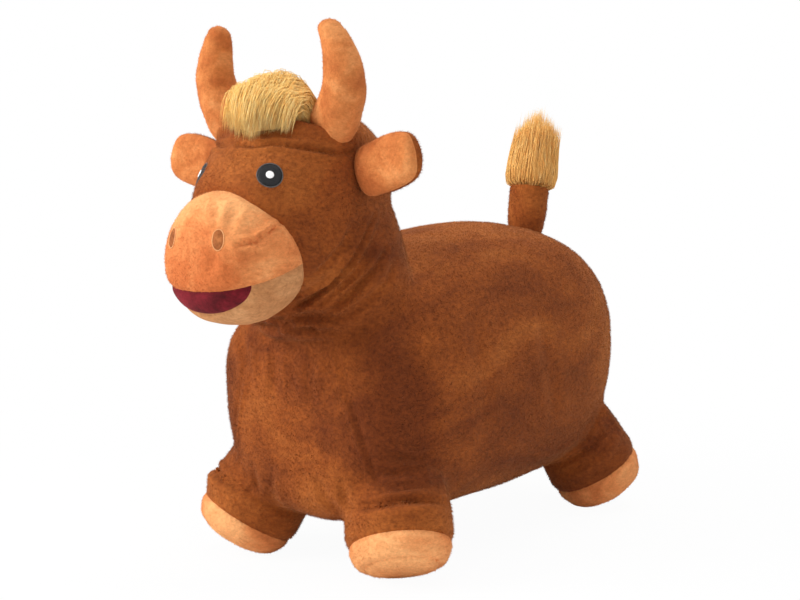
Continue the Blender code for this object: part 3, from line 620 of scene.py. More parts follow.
def scattered(thing, random, keep=None):
    """Random spots on a mesh, even over its area, with the way it faces there."""
    mesh = thing.data
    mesh.calc_loop_triangles()
    corners = np.empty(len(mesh.loop_triangles) * 3, dtype=np.int32)
    mesh.loop_triangles.foreach_get("vertices", corners)
    spots, facing = points_of(mesh), points_of(mesh, "normal")
    triangles = corners.reshape(-1, 3)
    if keep is not None:
        triangles = triangles[keep(spots[triangles].mean(axis=1))]
    a, b, c = (spots[triangles[:, i]] for i in range(3))
    area = np.linalg.norm(np.cross(b - a, c - a), axis=1) / 2
    count = int(area.sum() * pile_per_area)
    chosen = random.choice(len(triangles), count, p=area / area.sum())
    u, v = random.random((2, count, 1))
    u, v = np.where(u + v > 1, 1 - u, u), np.where(u + v > 1, 1 - v, v)
    places = a[chosen] * (1 - u - v) + b[chosen] * u + c[chosen] * v
    return places, unit(sum(facing[triangles[chosen, i]] for i in range(3)))


# How fast the pile's way turns over the cover
swirl = np.array([[23, 31, -17], [-19, 27, 29], [37, -13, 21]])


def pile_on(thing, name, seed, length=pile_length, combed=(0.35, 0.75, -0.55), bald=(), keep=None):
    """Short pile standing on a plush piece, brushed one way on both sides and swirled a little."""
    random = np.random.default_rng(seed)
    roots, ways = scattered(thing, random, keep)
    for centre, reach in bald:
        clear = np.linalg.norm(roots - np.array(centre), axis=1) > reach
        roots, ways = roots[clear], ways[clear]
    brush = np.repeat(np.array([combed], dtype=float), len(roots), axis=0)
    brush[:, 0] *= np.tanh(roots[:, 0] / 0.015)
    brush -= ways * (brush * ways).sum(axis=1, keepdims=True)
    brush /= np.maximum(np.linalg.norm(brush, axis=1, keepdims=True), 0.2)
    brush += np.sin(roots @ swirl.T + 1.7) * 0.16
    brush += random.normal(0, 0.12, roots.shape)
    brush -= ways * (brush * ways).sum(axis=1, keepdims=True)
    lean = unit(ways + brush * 1.1)
    reach = length * random.uniform(0.80, 1.08, (len(roots), 1))
    paths = np.stack([roots - ways * 0.0004, roots + lean * reach], axis=1)
    paths = paths[paths[:, :, 2].min(axis=1) > 0.0003]
    return hair_mesh(name, paths, pile_width * random.uniform(0.7, 1.1, len(paths)))


# The cover's skin

torso = soft_form("torso_form", torso_rings, squareness=2.6)
neck = soft_form("neck_form", neck_rings, points=10)
head = soft_form("head_form", head_rings, squareness=2.5)
muzzle = soft_form("muzzle_form", muzzle_rings)
legs = {(end, word): leg_form(end, side) for end in foot_places for word, side in SIDES.items()}
forms = {"torso": torso, "neck": neck, "head": head, "muzzle": muzzle}
forms.update({key: form for key, (form, _, _) in legs.items()})
trees = {key: tree_of(form) for key, form in forms.items()}

only(torso)
for form in forms.values():
    form.select_set(True)
bpy.ops.object.join()
skin = named("skin")
applied(skin, "REMESH", mode="VOXEL", voxel_size=cover_voxel)
applied(skin, "SMOOTH", factor=0.5, iterations=8)


def ball_weight(spots, centre, radii):
    """1 inside an oval ball, easing to 0 at its edge."""
    away = np.linalg.norm((spots - np.array(centre)) / np.array(radii), axis=1)
    return np.clip(1.6 * (1 - away), 0, 1)


def eased(thing, iterations, *balls):
    """Smooths a mesh where the balls are."""
    spots = points_of(thing.data)
    weight = np.max([ball_weight(spots, *ball) for ball in balls], axis=0)
    group = thing.vertex_groups.new(name="ease")
    for index in np.flatnonzero(weight > 0.01):
        group.add([int(index)], float(weight[index]), "REPLACE")
    applied(thing, "SMOOTH", factor=0.5, iterations=iterations, vertex_group="ease")
    thing.vertex_groups.remove(thing.vertex_groups["ease"])


eased(
    skin,
    60,
    ((0.09, -0.09, 0.255), (0.080, 0.110, 0.060)),
    ((-0.09, -0.09, 0.255), (0.080, 0.110, 0.060)),
    ((0, -0.16, 0.270), (0.110, 0.060, 0.060)),
    ((0, -0.12, 0.300), (0.110, 0.070, 0.060)),
)
eased(skin, 24, ((0, -0.215, 0.325), (0.095, 0.040, 0.070)))
leg_tops = []
for (end, word), (_, foot, axis) in legs.items():
    outward_way = Vector((SIDES[word], -1 if end == "front" else 1, 0)).normalized()
    leg_tops.append((foot + axis * 0.092 + outward_way * 0.014, (0.072, 0.072, 0.062)))
eased(skin, 180, *leg_tops)


def seen(tree, x, y):
    """The spot that the camera sees at a pixel of its picture."""
    right, up = x - picture_width / 2, picture_height / 2 - y
    ray = camera_right * right + camera_up * up - camera_back * focal_pixels
    return tree.ray_cast(camera_place, ray.normalized())[0]


def line_on(tree, pixels, step=4.0):
    """Close spots on the skin along a line drawn in the picture."""
    spots = []
    for (x0, y0), (x1, y1) in zip(pixels, pixels[1:]):
        count = max(2, int(math.hypot(x1 - x0, y1 - y0) / step))
        for i in range(count):
            spots.append(seen(tree, x0 + (x1 - x0) * i / count, y0 + (y1 - y0) * i / count))
    return np.array([spot for spot in spots if spot is not None])


def mirrored_line(tree, spots):
    """The same line on the other side."""
    return np.array([tree.find_nearest(Vector((-x, y, z)))[0] for x, y, z in spots])


def fold(spots, facing, line, depth, width, bank=0.35):
    """Presses a soft fold along a line, deepest in its middle and with raised banks."""
    if len(line) < 2:
        return
    reach = 4 * width
    near = np.flatnonzero(((spots > line.min(0) - reach) & (spots < line.max(0) + reach)).all(1))
    gaps = np.linalg.norm(spots[near][:, None] - line[None], axis=2)
    closest, gap = gaps.argmin(1), gaps.min(1)
    fade = np.sin(math.pi * (closest + 0.5) / len(line)) ** 0.6
    rise = -depth * np.exp(-((gap / width) ** 2)) + bank * depth * np.exp(-(((gap - 2 * width) / width) ** 2))
    spots[near] += facing[near] * (fade * rise)[:, None]


# Folds and, below zero, ridges that the picture shows: depth and width in mm, share of its banks,
# whether the right side has it too, and its pixels in the picture
folds = (
    (-10.5, 8.5, 0, True, ((288, 124), (308, 134), (330, 139), (350, 138), (366, 130))),
    (-2.2, 6, 0, True, ((256, 137), (274, 135), (292, 128))),
    (4.6, 2.8, 0.5, False, ((240, 145), (254, 147), (266, 146), (282, 142))),
    (5, 2.6, 0.5, True, ((262, 146), (284, 145), (306, 148), (330, 152), (354, 152))),
    (2.2, 2.6, 0.6, True, ((286, 119), (301, 115), (314, 121), (322, 128))),
    (6.2, 2.9, 0.95, True, ((374, 216), (362, 238), (348, 262), (330, 282), (308, 300), (284, 314))),
    (5.5, 2.9, 0.85, True, ((386, 250), (376, 268), (358, 286), (336, 306), (318, 318))),
    (3.4, 3.4, 0.6, True, ((352, 226), (344, 244), (328, 262), (308, 278))),
    (3, 3.4, 0.6, True, ((396, 262), (388, 282), (368, 300), (346, 314))),
    (6.5, 4.2, 0.5, True, ((258, 322), (273, 327), (288, 319), (310, 316), (336, 318), (362, 308))),
    (3.4, 4, 0.5, True, ((282, 332), (306, 328), (334, 330), (352, 324))),
    (-2.2, 1.7, 0, True, ((330, 350), (343, 400), (359, 449), (377, 503))),
    (2.4, 2.2, 0, True, ((336, 350), (350, 400), (366, 449), (384, 500))),
    (2.4, 5, 0.5, True, ((274, 350), (275, 372), (272, 400))),
    (3, 15, 0.3, True, ((400, 300), (410, 360), (417, 430), (420, 480))),
    (1.6, 12, 0.3, True, ((470, 300), (484, 380), (486, 440))),
    (1.6, 10, 0.3, True, ((540, 310), (552, 380), (556, 430))),
    (2.2, 3.2, 0.7, False, ((386, 452), (402, 456), (418, 458), (434, 452))),
    (2.2, 3.2, 0.7, False, ((382, 470), (398, 474), (418, 470))),
    (1.8, 3.4, 0.6, False, ((380, 486), (398, 489), (426, 484))),
    (2, 5, 0.6, True, ((318, 480), (326, 498), (340, 514))),
    (1.6, 4, 0.6, True, ((342, 482), (346, 500), (352, 514))),
    (2, 5, 0.5, False, ((240, 332), (246, 360), (250, 392))),
    (5.2, 3.4, 0.6, True, ((352, 507), (376, 506), (400, 502), (428, 501), (456, 502))),
    (-4, 6.4, 0, True, ((350, 519), (376, 517), (402, 513), (430, 512), (458, 513))),
    (2.2, 3.4, 0.3, False, ((252, 496), (264, 503), (284, 511), (318, 518))),
    (4.2, 3, 0.6, True, ((540, 470), (562, 463), (592, 447), (612, 418))),
    (-6, 7, 0, True, ((552, 482), (576, 474), (604, 456), (624, 428))),
    (-2.5, 7, 0, True, ((530, 462), (556, 452), (582, 436), (600, 410))),
    (4.4, 2.2, 0.95, False, ((238, 246), (246, 243), (256, 242), (266, 235), (276, 227), (284, 221))),
    (2.6, 4, 0.6, False, ((228, 230), (232, 216), (238, 204))),
    (2, 3.6, 0.6, False, ((218, 226), (216, 212), (215, 200))),
    (1.6, 4, 0.6, False, ((206, 236), (196, 230), (190, 218))),
    (1.6, 4, 0.6, False, ((214, 256), (212, 266), (206, 276))),
    (-1.6, 6, 0, False, ((244, 262), (236, 256), (228, 252))),
    (1.6, 2.6, 0.7, False, ((256, 296), (262, 306), (262, 318))),
    (1.6, 2.6, 0.7, False, ((266, 290), (276, 298), (282, 308))),
)

skin_tree = tree_of(skin)
spots, facing = points_of(skin.data), points_of(skin.data, "normal")
for depth, width, bank, both, pixels in folds:
    depth, width = depth / 1000, width / 1000
    line = line_on(skin_tree, pixels)
    fold(spots, facing, line, depth, width, bank)
    if both and len(line):
        fold(spots, facing, mirrored_line(skin_tree, line), depth, width, bank)
lumps = [noise.noise(Vector(spot) * 21) * 0.7 + noise.noise(Vector(spot) * 52) * 0.3 for spot in spots]
above_feet = np.clip((spots[:, 2] - 0.012) / 0.02, 0, 1)
spots += facing * (0.0014 * np.array(lumps) * above_feet)[:, None]
spots[:, 2] = np.maximum(spots[:, 2], 0.0)
put_points(skin.data, spots)

# Panels, cut from the skin along the lines where one form meets the next

panel_names = ["flank_panel_left"]
shape = bmesh.new()
shape.from_mesh(skin.data)
panel_layer = shape.faces.layers.int.new("panel")


def divide(old, new, field):
    """Cuts one panel where a field changes sign, and gives the side below zero to a new panel."""
    if new not in panel_names:
        panel_names.append(new)
    number, fresh = panel_names.index(old), panel_names.index(new)
    faces = [face for face in shape.faces if face[panel_layer] == number]
    verts = list(dict.fromkeys(vert for face in faces for vert in face.verts))
    values = dict(zip(verts, field(np.array([vert.co for vert in verts]))))
    crossing = []
    for edge in dict.fromkeys(edge for face in faces for edge in face.edges):
        low, high = (values[vert] for vert in edge.verts)
        if low * high < 0:
            _, vert = bmesh.utils.edge_split(edge, edge.verts[0], low / (low - high))
            values[vert] = 0.0
            crossing.append(vert)
    if crossing:
        bmesh.ops.connect_verts(shape, verts=crossing)
    for face in shape.faces:
        if face[panel_layer] == number and sum(values.get(vert, 0.0) for vert in face.verts) < 0:
            face[panel_layer] = fresh


def nearer(first, second, keep=None):
    """A field that is below zero where the first form is nearer than the second."""

    def field(places):
        out = np.ones(len(places))
        inside = np.ones(len(places), bool) if keep is None else keep(places)
        for index in np.flatnonzero(inside):
            spot = Vector(places[index])
            out[index] = trees[first].find_nearest(spot)[3] - trees[second].find_nearest(spot)[3]
        return out

    return field


def beyond(point, way):
    """A field that is below zero ahead of a point."""
    point, way = np.array(point), np.array(way)
    return lambda places: -((places - point) @ way)


def before(y, above):
    """Which places are ahead of a distance and above a height."""
    return lambda places: (places[:, 1] < y) & (places[:, 2] > above)


for (end, word), (_, foot, axis) in legs.items():
    sleeve, band, sole = f"leg_sleeve_{end}_{word}", f"hoof_band_{end}_{word}", f"hoof_sole_{end}_{word}"
    near_foot = lambda places, foot=foot: np.linalg.norm(places - np.array(foot), axis=1) < 0.13
    divide("flank_panel_left", sleeve, nearer((end, word), "torso", near_foot))
    divide(sleeve, band, beyond(foot + axis * (hoof_tops[end] - leg_start), -axis))
    divide(band, sole, beyond(foot + axis * (sole_top - leg_start), -axis))
divide("flank_panel_left", "neck_cover", nearer("neck", "torso", before(0.03, 0.21)))
divide("flank_panel_left", "head_cover", nearer("head", "torso", before(0.0, 0.24)))
divide("flank_panel_left", "muzzle_cover", nearer("muzzle", "torso", before(-0.17, 0.21)))
divide("neck_cover", "head_cover", nearer("head", "neck"))
divide("neck_cover", "muzzle_cover", nearer("muzzle", "neck", before(-0.17, 0.0)))
divide("head_cover", "muzzle_cover", nearer("muzzle", "head", lambda p: (p[:, 1] < -0.17) & (p[:, 2] < 0.37)))
divide("muzzle_cover", "chin_cover", beyond(mouth_front, (0, math.sin(mouth_rise), -math.cos(mouth_rise))))


def lips(places):
    """Below zero inside the open mouth's oval."""
    oval = (places[:, 0] / lips_half_width) ** 2 + ((places[:, 2] - lips_height) / lips_half_height) ** 2
    return oval - 1 + (places[:, 1] > -0.23) * 2


divide("chin_cover", "mouth_patch", lips)
chest_way = (0, -math.cos(chest_seam_lean), -math.sin(chest_seam_lean))
divide("flank_panel_left", "chest_panel_left", beyond(chest_seam_middle, chest_way))
torso_panels = []
for panel in ("flank_panel", "chest_panel"):
    divide(f"{panel}_left", f"{panel}_right", lambda places: places[:, 0])
    torso_panels += [f"{panel}_left", f"{panel}_right"]


def zip_slot(places):
    """Below zero inside the belly's opening."""
    aside = np.abs(places[:, 0]) - opening_half_width
    along = np.abs(places[:, 1] - zip_middle) - opening_half_length
    return np.where(places[:, 2] < opening_top, np.maximum(aside, along), 1.0)


for panel in torso_panels:
    divide(panel, "zip_opening", zip_slot)

shape.verts.ensure_lookup_table()
opening = panel_names.index("zip_opening")
bmesh.ops.delete(shape, geom=[f for f in shape.faces if f[panel_layer] == opening], context="FACES")
shape.verts.index_update()

# Seams: the fabric is drawn in along each and fuller beside it, and less where brown meets brown.
# Those round the brown legs, neck and chest are lost in the pile.
seam_spots = {1.0: [], 0.35: []}
for vert in shape.verts:
    meeting = {panel_names[face[panel_layer]] for face in vert.link_faces}
    if len(meeting) > 1:
        brown = all(name.startswith(("chest", "flank", "neck", "head", "leg")) for name in meeting)
        if not (brown and any(name.startswith(("leg", "neck", "chest")) for name in meeting)):
            seam_spots[0.35 if brown else 1.0].append(vert.co.copy())
shape.normal_update()
spots = np.array([vert.co for vert in shape.verts])
facing = np.array([vert.normal for vert in shape.verts])
for force, places in seam_spots.items():
    finder = KDTree(len(places))
    for index, place in enumerate(places):
        finder.insert(place, index)
    finder.balance()
    gap = np.array([finder.find(vert.co)[2] for vert in shape.verts])
    rise = -seam_depth * np.exp(-((gap / seam_width) ** 2))
    rise += ease_height * np.exp(-(((gap - ease_width) / ease_width) ** 2))
    spots += facing * (rise * force * np.clip((spots[:, 2] - 0.003) / 0.006, 0, 1))[:, None]

# The cover lies over the bladder, and its feet stand on the floor
bladder_tree = tree_of(frame["nodes"]["bladder"])
for vert, spot, way in zip(shape.verts, spots, facing):
    spot, way = Vector(spot), Vector(way)
    above = bladder_tree.ray_cast(spot + way * bladder_search, -way, 2 * bladder_search)[3]
    short = 0 if above is None else cover_thickness + bladder_clearance - (above - bladder_search)
    vert.co = spot + way * max(0, short)
    vert.co.z = max(0.0, vert.co.z)
bmesh.ops.triangulate(shape, faces=[face for face in shape.faces if len(face.verts) > 4])
skin.data.materials.clear()
for name in panel_names:
    skin.data.materials.append(bpy.data.materials.new(f"cut_{name}"))
for face in shape.faces:
    face.material_index = face[panel_layer]
shape.to_mesh(skin.data)
shape.free()
seen_tree = tree_of(skin)

edited(skin, lambda: bpy.ops.mesh.separate(type="MATERIAL"))
panels = {}
for thing in list(bpy.context.selected_objects):
    used = thing.data.polygons[0].material_index
    panels[thing.material_slots[used].material.name.removeprefix("cut_")] = thing
for name, thing in panels.items():
    thing.name = thing.data.name = f"{name}_plush"


def sewn_spot(x, y, side):
    """The place and facing of a sewn patch, from where the picture shows the left one."""
    spot = seen(seen_tree, x, y)
    way = seen_tree.find_nearest(spot)[1]
    return Vector((spot.x * side, spot.y, spot.z)), Vector((way.x * side, way.y, way.z))


eye_reach, highlight_reach, nostril_reach = (0.0106, 0.0106), (0.0038, 0.0038), (0.0050, 0.0085)
eye_spots = {word: sewn_spot(270, 175, side) for word, side in SIDES.items()}
nostril_spots = {word: sewn_spot(218, 240, side) for word, side in SIDES.items()}
bald = [(spot, eye_reach[0] + 0.0004) for spot, _ in eye_spots.values()]
bald += [(spot, nostril_reach[0] + 0.0014) for spot, _ in nostril_spots.values()]
panel_finishes = {"muzzle": "tan", "hoof": "tan", "chin": "pale", "mouth": "mouth"}
for seed, (name, thing) in enumerate(sorted(panels.items())):
    finish = panel_finishes.get(name.split("_")[0], "brown")
    if finish in ("brown", "tan"):
        length = pile_length if finish == "brown" else pile_length * 0.7
        hairs = pile_on(thing, f"{name}_pile", seed, length, bald=bald)
        dressed(hairs, f"{finish}_pile", "cover")
    applied(thing, "SOLIDIFY", thickness=cover_thickness, offset=-1)
    dressed(thing, finish, "cover", [name], 0.9)
for name in panel_names:
    spare = bpy.data.materials.get(f"cut_{name}")
    if spare:
        bpy.data.materials.remove(spare)

# Horns


def outside_skin(places):
    """Which places stand clear of the skin."""
    found = [(Vector(place), *seen_tree.find_nearest(Vector(place))[:2]) for place in places]
    return np.array([facing.dot(place - spot) > 0.001 for place, spot, facing in found])


def horn():
    """The left horn, lumpy and with a crease under its tip."""
    form = soft_form("horn_cover_left_plush", round_rings(horn_rings), across=(0, 1, 0), points=10)
    places, ways = points_of(form.data), points_of(form.data, "normal")
    middle, reach = np.array((0.0610, -0.1822, 0.4820)), 0.014
    turns = np.linspace(-2.6, 0.6, 24)
    crease = middle + reach * np.stack([np.cos(turns), np.sin(turns), 0 * turns], axis=1)
    fold(places, ways, crease, 0.0022, 0.0026, 0.5)
    put_points(form.data, lumpy(places, ways, 48, 0.0013))
    return form


# Each horn's root is drawn in where it is sewn to the head
left_horn = horn()
for word, form in (("left", left_horn), ("right", mirrored(left_horn, "horn_cover_right_plush"))):
    places, ways = points_of(form.data), points_of(form.data, "normal")
    head_gap = np.array([seen_tree.find_nearest(Vector(place))[3] for place in places])
    put_points(form.data, places + ways * (-0.0022 * np.exp(-((head_gap / 0.005) ** 2)))[:, None])
    hairs = pile_on(form, f"horn_pile_{word}", 60, pile_length * 0.6, (0, 0, 0.9), keep=outside_skin)
    dressed(hairs, "horn_pile", "cover")
    dressed(form, "horn", "cover", [f"horn_cover_{word}"], 0.85)

# Ears


def ear_halves():
    """The left ear's front and back, dished, creased at the root and drawn in along the seam between them."""
    rings = [(place, ear_way, high, thick, thick) for place, high, thick in ear_rings]
    form = soft_form("ear_left", rings, across=ear_upright, points=10)
    hinge, way, upright = np.array(ear_hinge), np.array(ear_way), np.array(ear_upright)
    front = np.array(ear_upright.cross(ear_way).normalized())
    if front[1] > 0:
        front = -front
    places, ways = points_of(form.data), points_of(form.data, "normal")
    out, rise, depth = ((places - hinge) @ line for line in (way, upright, front))
    dish = np.exp(-(((out - 0.034) / 0.020) ** 2) - (rise / 0.014) ** 2)
    places -= front[None] * (np.where(depth > 0, 0.0030, 0) * dish)[:, None]
    along = np.linspace(0.002, 0.026, 12)[:, None]
    for height in (-0.006, 0.0005, 0.007):
        crease = hinge + way * along + upright * height * (0.5 + along * 25) + front * 0.008
        fold(places, ways, crease, 0.0014, 0.0024, 0.5)
    places = lumpy(places, ways, 55, 0.0008)
    seam = np.abs((places - hinge) @ front)
    put_points(form.data, places + ways * (-0.0013 * np.exp(-((seam / 0.0022) ** 2)))[:, None])
    only(form)
    bpy.ops.object.duplicate()
    back = named("ear_back_left_plush")
    form.name = form.data.name = "ear_front_left_plush"
    for half, face in ((form, front), (back, -front)):
        edited(half, lambda: bpy.ops.mesh.bisect(plane_co=hinge, plane_no=face, clear_inner=True))
    return form, back


for left in ear_halves():
    right = mirrored(left, left.name.replace("left", "right"))
    for half in (left, right):
        node = half.name.removesuffix("_plush")
        is_front = "front" in node
        finish, slot_name = ("horn", "tan_plush") if is_front else ("brown", "brown_plush")
        length = pile_length * (0.7 if is_front else 1)
        hairs = pile_on(half, f"{node}_pile", 40 + len(node), length, (0.9, 0, 0.2))
        body = "ear_left" if "left" in node else "ear_right"
        dressed(hairs, f"{finish}_pile", body)
        applied(half, "SOLIDIFY", thickness=cover_thickness, offset=-1)
        dressed(half, finish, body, [node], 0.8)

# Eyes, highlights and nostrils


def patch_frame(way):
    """Across and up on a patch that faces this way."""
    across = Vector((0, 0, 1)).cross(way).normalized()
    return across, way.cross(across).normalized()


def patch(name, middle, way, reach, height, rim=0.35):
    """A sewn patch that follows the skin: a disc with its edge rounded and its underside in the pile."""
    across, up = patch_frame(way)
    below = 0.0012
    deselect()
    bpy.ops.mesh.primitive_circle_add(vertices=40, radius=1.0, fill_type="TRIFAN")
    thing = named(name)
    bpy.ops.object.mode_set(mode="EDIT")
    bpy.ops.mesh.select_all(action="SELECT")
    bpy.ops.mesh.subdivide(number_cuts=4)
    bpy.ops.mesh.extrude_region_move()
    mesh = bmesh.from_edit_mesh(thing.data)
    for vert in mesh.verts:
        x, y = vert.co.x, vert.co.y
        round_edge = min(1.0, max(0.0, (1 - math.hypot(x, y)) / rim))
        spot, facing = on_skin(middle + across * x * reach[0] + up * y * reach[1], way)
        lift = height * math.sqrt(1 - (1 - round_edge) ** 2) if vert.select else -below
        vert.co = spot + facing * lift
    bmesh.update_edit_mesh(thing.data)
    bpy.ops.mesh.select_all(action="SELECT")
    outward()
    bpy.ops.object.mode_set(mode="OBJECT")
    return thing


def on_skin(place, way):
    """The skin's spot and facing behind a place."""
    spot, facing, _, _ = seen_tree.ray_cast(place + way * 0.04, -way)
    return (place, way) if spot is None else (spot, facing)


def thread_ring(name, middle, way, reach):
    """A satin stitch around a patch: a ring laid on the skin."""
    across, up = patch_frame(way)
    thread, lift, section = 0.0005, 0.0001, 0.25
    deselect()
    bpy.ops.mesh.primitive_torus_add(minor_radius=section, major_segments=72, minor_segments=8)
    ring = named(name)
    for vert in ring.data.vertices:
        turn = math.atan2(vert.co.y, vert.co.x)
        out = (math.hypot(vert.co.x, vert.co.y) - 1) / section * thread
        x, y = math.cos(turn) * (reach[0] + out), math.sin(turn) * (reach[1] + out)
        spot, facing = on_skin(middle + across * x + up * y, way)
        vert.co = spot + facing * (lift + vert.co.z / section * thread)
    edited(ring, outward)
    return ring


for word in SIDES:
    middle, way = eye_spots[word]
    disc = patch(f"eye_disc_{word}_satin", middle, way, eye_reach, 0.0009, rim=0.2)
    dressed(disc, "eye", "cover", [f"eye_disc_{word}"])
    edge = thread_ring(f"eye_edge_{word}_thread", middle, way, eye_reach)
    dressed(edge, "eye_edge", "cover")
    light = patch(f"eye_highlight_{word}_satin", middle, way, highlight_reach, 0.0014, rim=0.25)
    dressed(light, "white", "cover", [f"eye_highlight_{word}"])
    middle, way = nostril_spots[word]
    felt = patch(f"nostril_{word}_felt", middle, way, nostril_reach, 0.0004, rim=0.4)
    dressed(felt, "nostril", "cover", [f"nostril_{word}"])
    edge = thread_ring(f"nostril_edge_{word}_thread", middle, way, nostril_reach)
    dressed(edge, "outline", "cover")

# Forelock


def drawn_to_locks(paths, locks, random, strength, spread):
    """Hairs gathered into locks toward their tips, each around its nearest lock's own middle hair."""
    count, knots, _ = paths.shape
    middles = random.choice(count, locks, replace=False)
    finder = KDTree(locks)
    for index, middle in enumerate(middles):
        finder.insert(Vector(paths[middle, knots // 2]), index)
    finder.balance()
    lock = np.array([middles[finder.find(Vector(path[knots // 2]))[1]] for path in paths])
    pull = (np.linspace(0, 1, knots) ** 1.5)[None, :, None] * strength
    shift = paths[:, :1] - paths[lock][:, :1]
    return paths * (1 - pull) + (paths[lock] + shift * spread) * pull


# Hairs of the forelock and of the tuft, and the knots along each
long_hairs, hair_knots = 4800, 8
# How hard the forelock's hair bends down at its first knots
forelock_drops = (0.0, 0.09, 0.56, 1.0)


def forelock_roots(random):
    """Spots on the crown between the horns, with the way the skin faces there."""
    roots, ways = [], []
    while len(roots) < long_hairs:
        x, y = random.uniform(-1, 1, 2)
        if x * x + y * y > 1:
            continue
        start = Vector((x * 0.038 + 0.006, -0.177 + y * 0.020, 0.5))
        spot, facing, _, _ = seen_tree.ray_cast(start, Vector((0, 0, -1)))
        roots.append(spot)
        ways.append(facing)
    return np.array(roots), np.array(ways)


def forelock_hairs():
    """Long hair that stands up, then falls forward over the brow, with some wisps that don't."""
    random = np.random.default_rng(11)
    roots, ways = forelock_roots(random)
    each = (long_hairs, 1)
    aside = roots[:, :1] / 0.037
    left, right = np.clip(aside, 0, 1), np.clip(-aside, 0, 1)
    loft = random.uniform(0.15, 1.0, each) ** 0.7
    length = (0.050 + 0.037 * loft) * (1 - 0.22 * left) * (1 - 0.25 * right**2)
    wisp = random.random(each) < 0.06
    length *= random.uniform(0.93, 1.05, each) * np.where(wisp, 0.55, 1.0)
    flow = np.concatenate([0.40 - 0.85 * left, -np.ones(each), np.zeros(each)], axis=1)
    flow = unit(flow + random.normal(0, 0.06, (long_hairs, 3)))
    upward = np.array([[0, 0, 1.0]])
    heading = ways * 0.5 + upward * 0.7 * loft + flow * (0.75 - 0.55 * loft)
    heading += random.normal(0, 0.05, (long_hairs, 3))
    step = length / (hair_knots - 1)
    paths = [roots - ways * 0.001]
    for knot in range(1, hair_knots):
        heading = unit(heading)
        paths.append(paths[-1] + heading * step)
        drop = forelock_drops[min(knot - 1, 3)] * np.where(wisp, 0.12, 1.0) * (1.5 - 0.5 * loft)
        heading = heading * 0.78 + flow * 0.20 - upward * drop
    paths = drawn_to_locks(np.stack(paths, axis=1), 130, random, 0.35, 0.60)
    for index in range(long_hairs):
        for knot in range(1, hair_knots):
            spot, facing, _, _ = seen_tree.find_nearest(Vector(paths[index, knot]))
            above = facing.dot(Vector(paths[index, knot]) - spot)
            wanted = 0.0008 + 0.006 * math.sin(math.pi * knot / (hair_knots - 1)) * (index % 17) / 17
            if above < wanted:
                paths[index, knot] += np.array(facing) * (wanted - above)
    return hair_mesh("forelock_hair", paths, 0.00034 * random.uniform(0.7, 1.2, long_hairs))


crown_way = Vector((0, -0.25, 0.97)).normalized()
backing = patch("forelock_backing", Vector((0, -0.180, 0.41)), crown_way, (0.035, 0.031), 0.0035)
dressed(backing, "hair", "cover")
dressed(forelock_hairs(), "hair", "cover", ["forelock"])

# Tail


tail_top = Vector((0, 0.2445, 0.3393))
sleeve = soft_form("tail_sleeve_plush", round_rings(tail_rings, tail_way), points=10)
put_points(sleeve.data, lumpy(points_of(sleeve.data), points_of(sleeve.data, "normal"), 50, 0.0010))
edited(sleeve, lambda: bpy.ops.mesh.bisect(plane_co=tail_top, plane_no=tail_way, clear_outer=True))
dressed(pile_on(sleeve, "tail_sleeve_pile", 77), "brown_pile", "tail")
applied(sleeve, "SOLIDIFY", thickness=cover_thickness, offset=-1)
dressed(sleeve, "brown", "tail", ["tail_sleeve"], 0.8)


def tuft_hairs():
    """Long hair from the end of the tail: it swells over the sleeve's edge and draws in to a ragged tip."""
    random = np.random.default_rng(23)
    turn = random.uniform(0, 2 * math.pi, long_hairs)
    out = np.sqrt(random.uniform(0, 1, long_hairs))
    side, front = np.array([1.0, 0, 0]), np.array(tail_way.cross(Vector((1, 0, 0))))
    round_way = side[None] * np.cos(turn)[:, None] + front[None] * np.sin(turn)[:, None]
    way = np.array(tail_way)[None]
    base = np.array(tail_top)[None] - way * 0.002
    start = random.uniform(-0.002, 0.022, long_hairs) * (1 - 0.75 * out)
    length = random.uniform(0.050, 0.078, long_hairs) * (1.04 - 0.14 * out)
    share = np.linspace(0, 1, hair_knots)[None, :, None]
    swell = np.interp(share, (0, 0.12, 0.30, 0.60, 1.0), (0.0190, 0.0262, 0.0285, 0.0262, 0.0215))
    dip = -0.004 * np.interp(share, (0, 0.15, 0.40, 1.0), (0, 1, 0, 0)) * out[:, None, None] ** 4
    climb = start[:, None, None] + length[:, None, None] * share + dip
    paths = base[:, None] + round_way[:, None] * (out[:, None, None] * swell) + way[:, None] * climb
    bend = random.normal(0, 0.0016, (long_hairs, 1, 3)) * share
    paths = paths + bend + random.normal(0, 0.0030, (long_hairs, 1, 3)) * share**3
    paths = paths + np.array([[[0.0, 0.0035, 0.0]]]) * share**2
    paths = drawn_to_locks(paths, 110, random, 0.45, 0.35)
    return hair_mesh("tail_tuft_hair", paths, 0.00032 * random.uniform(0.7, 1.2, long_hairs))


core_reaches = ((-0.003, 0.0150), (0.010, 0.0180), (0.035, 0.0160), (0.055, 0.0090))
core_rings = [(tail_top + tail_way * out, radius) for out, radius in core_reaches]
backing = soft_form("tail_tuft_backing", round_rings(core_rings, tail_way), points=10)
dressed(backing, "tuft", "tail")
dressed(tuft_hairs(), "tuft", "tail", ["tail_tuft"])

# Zip


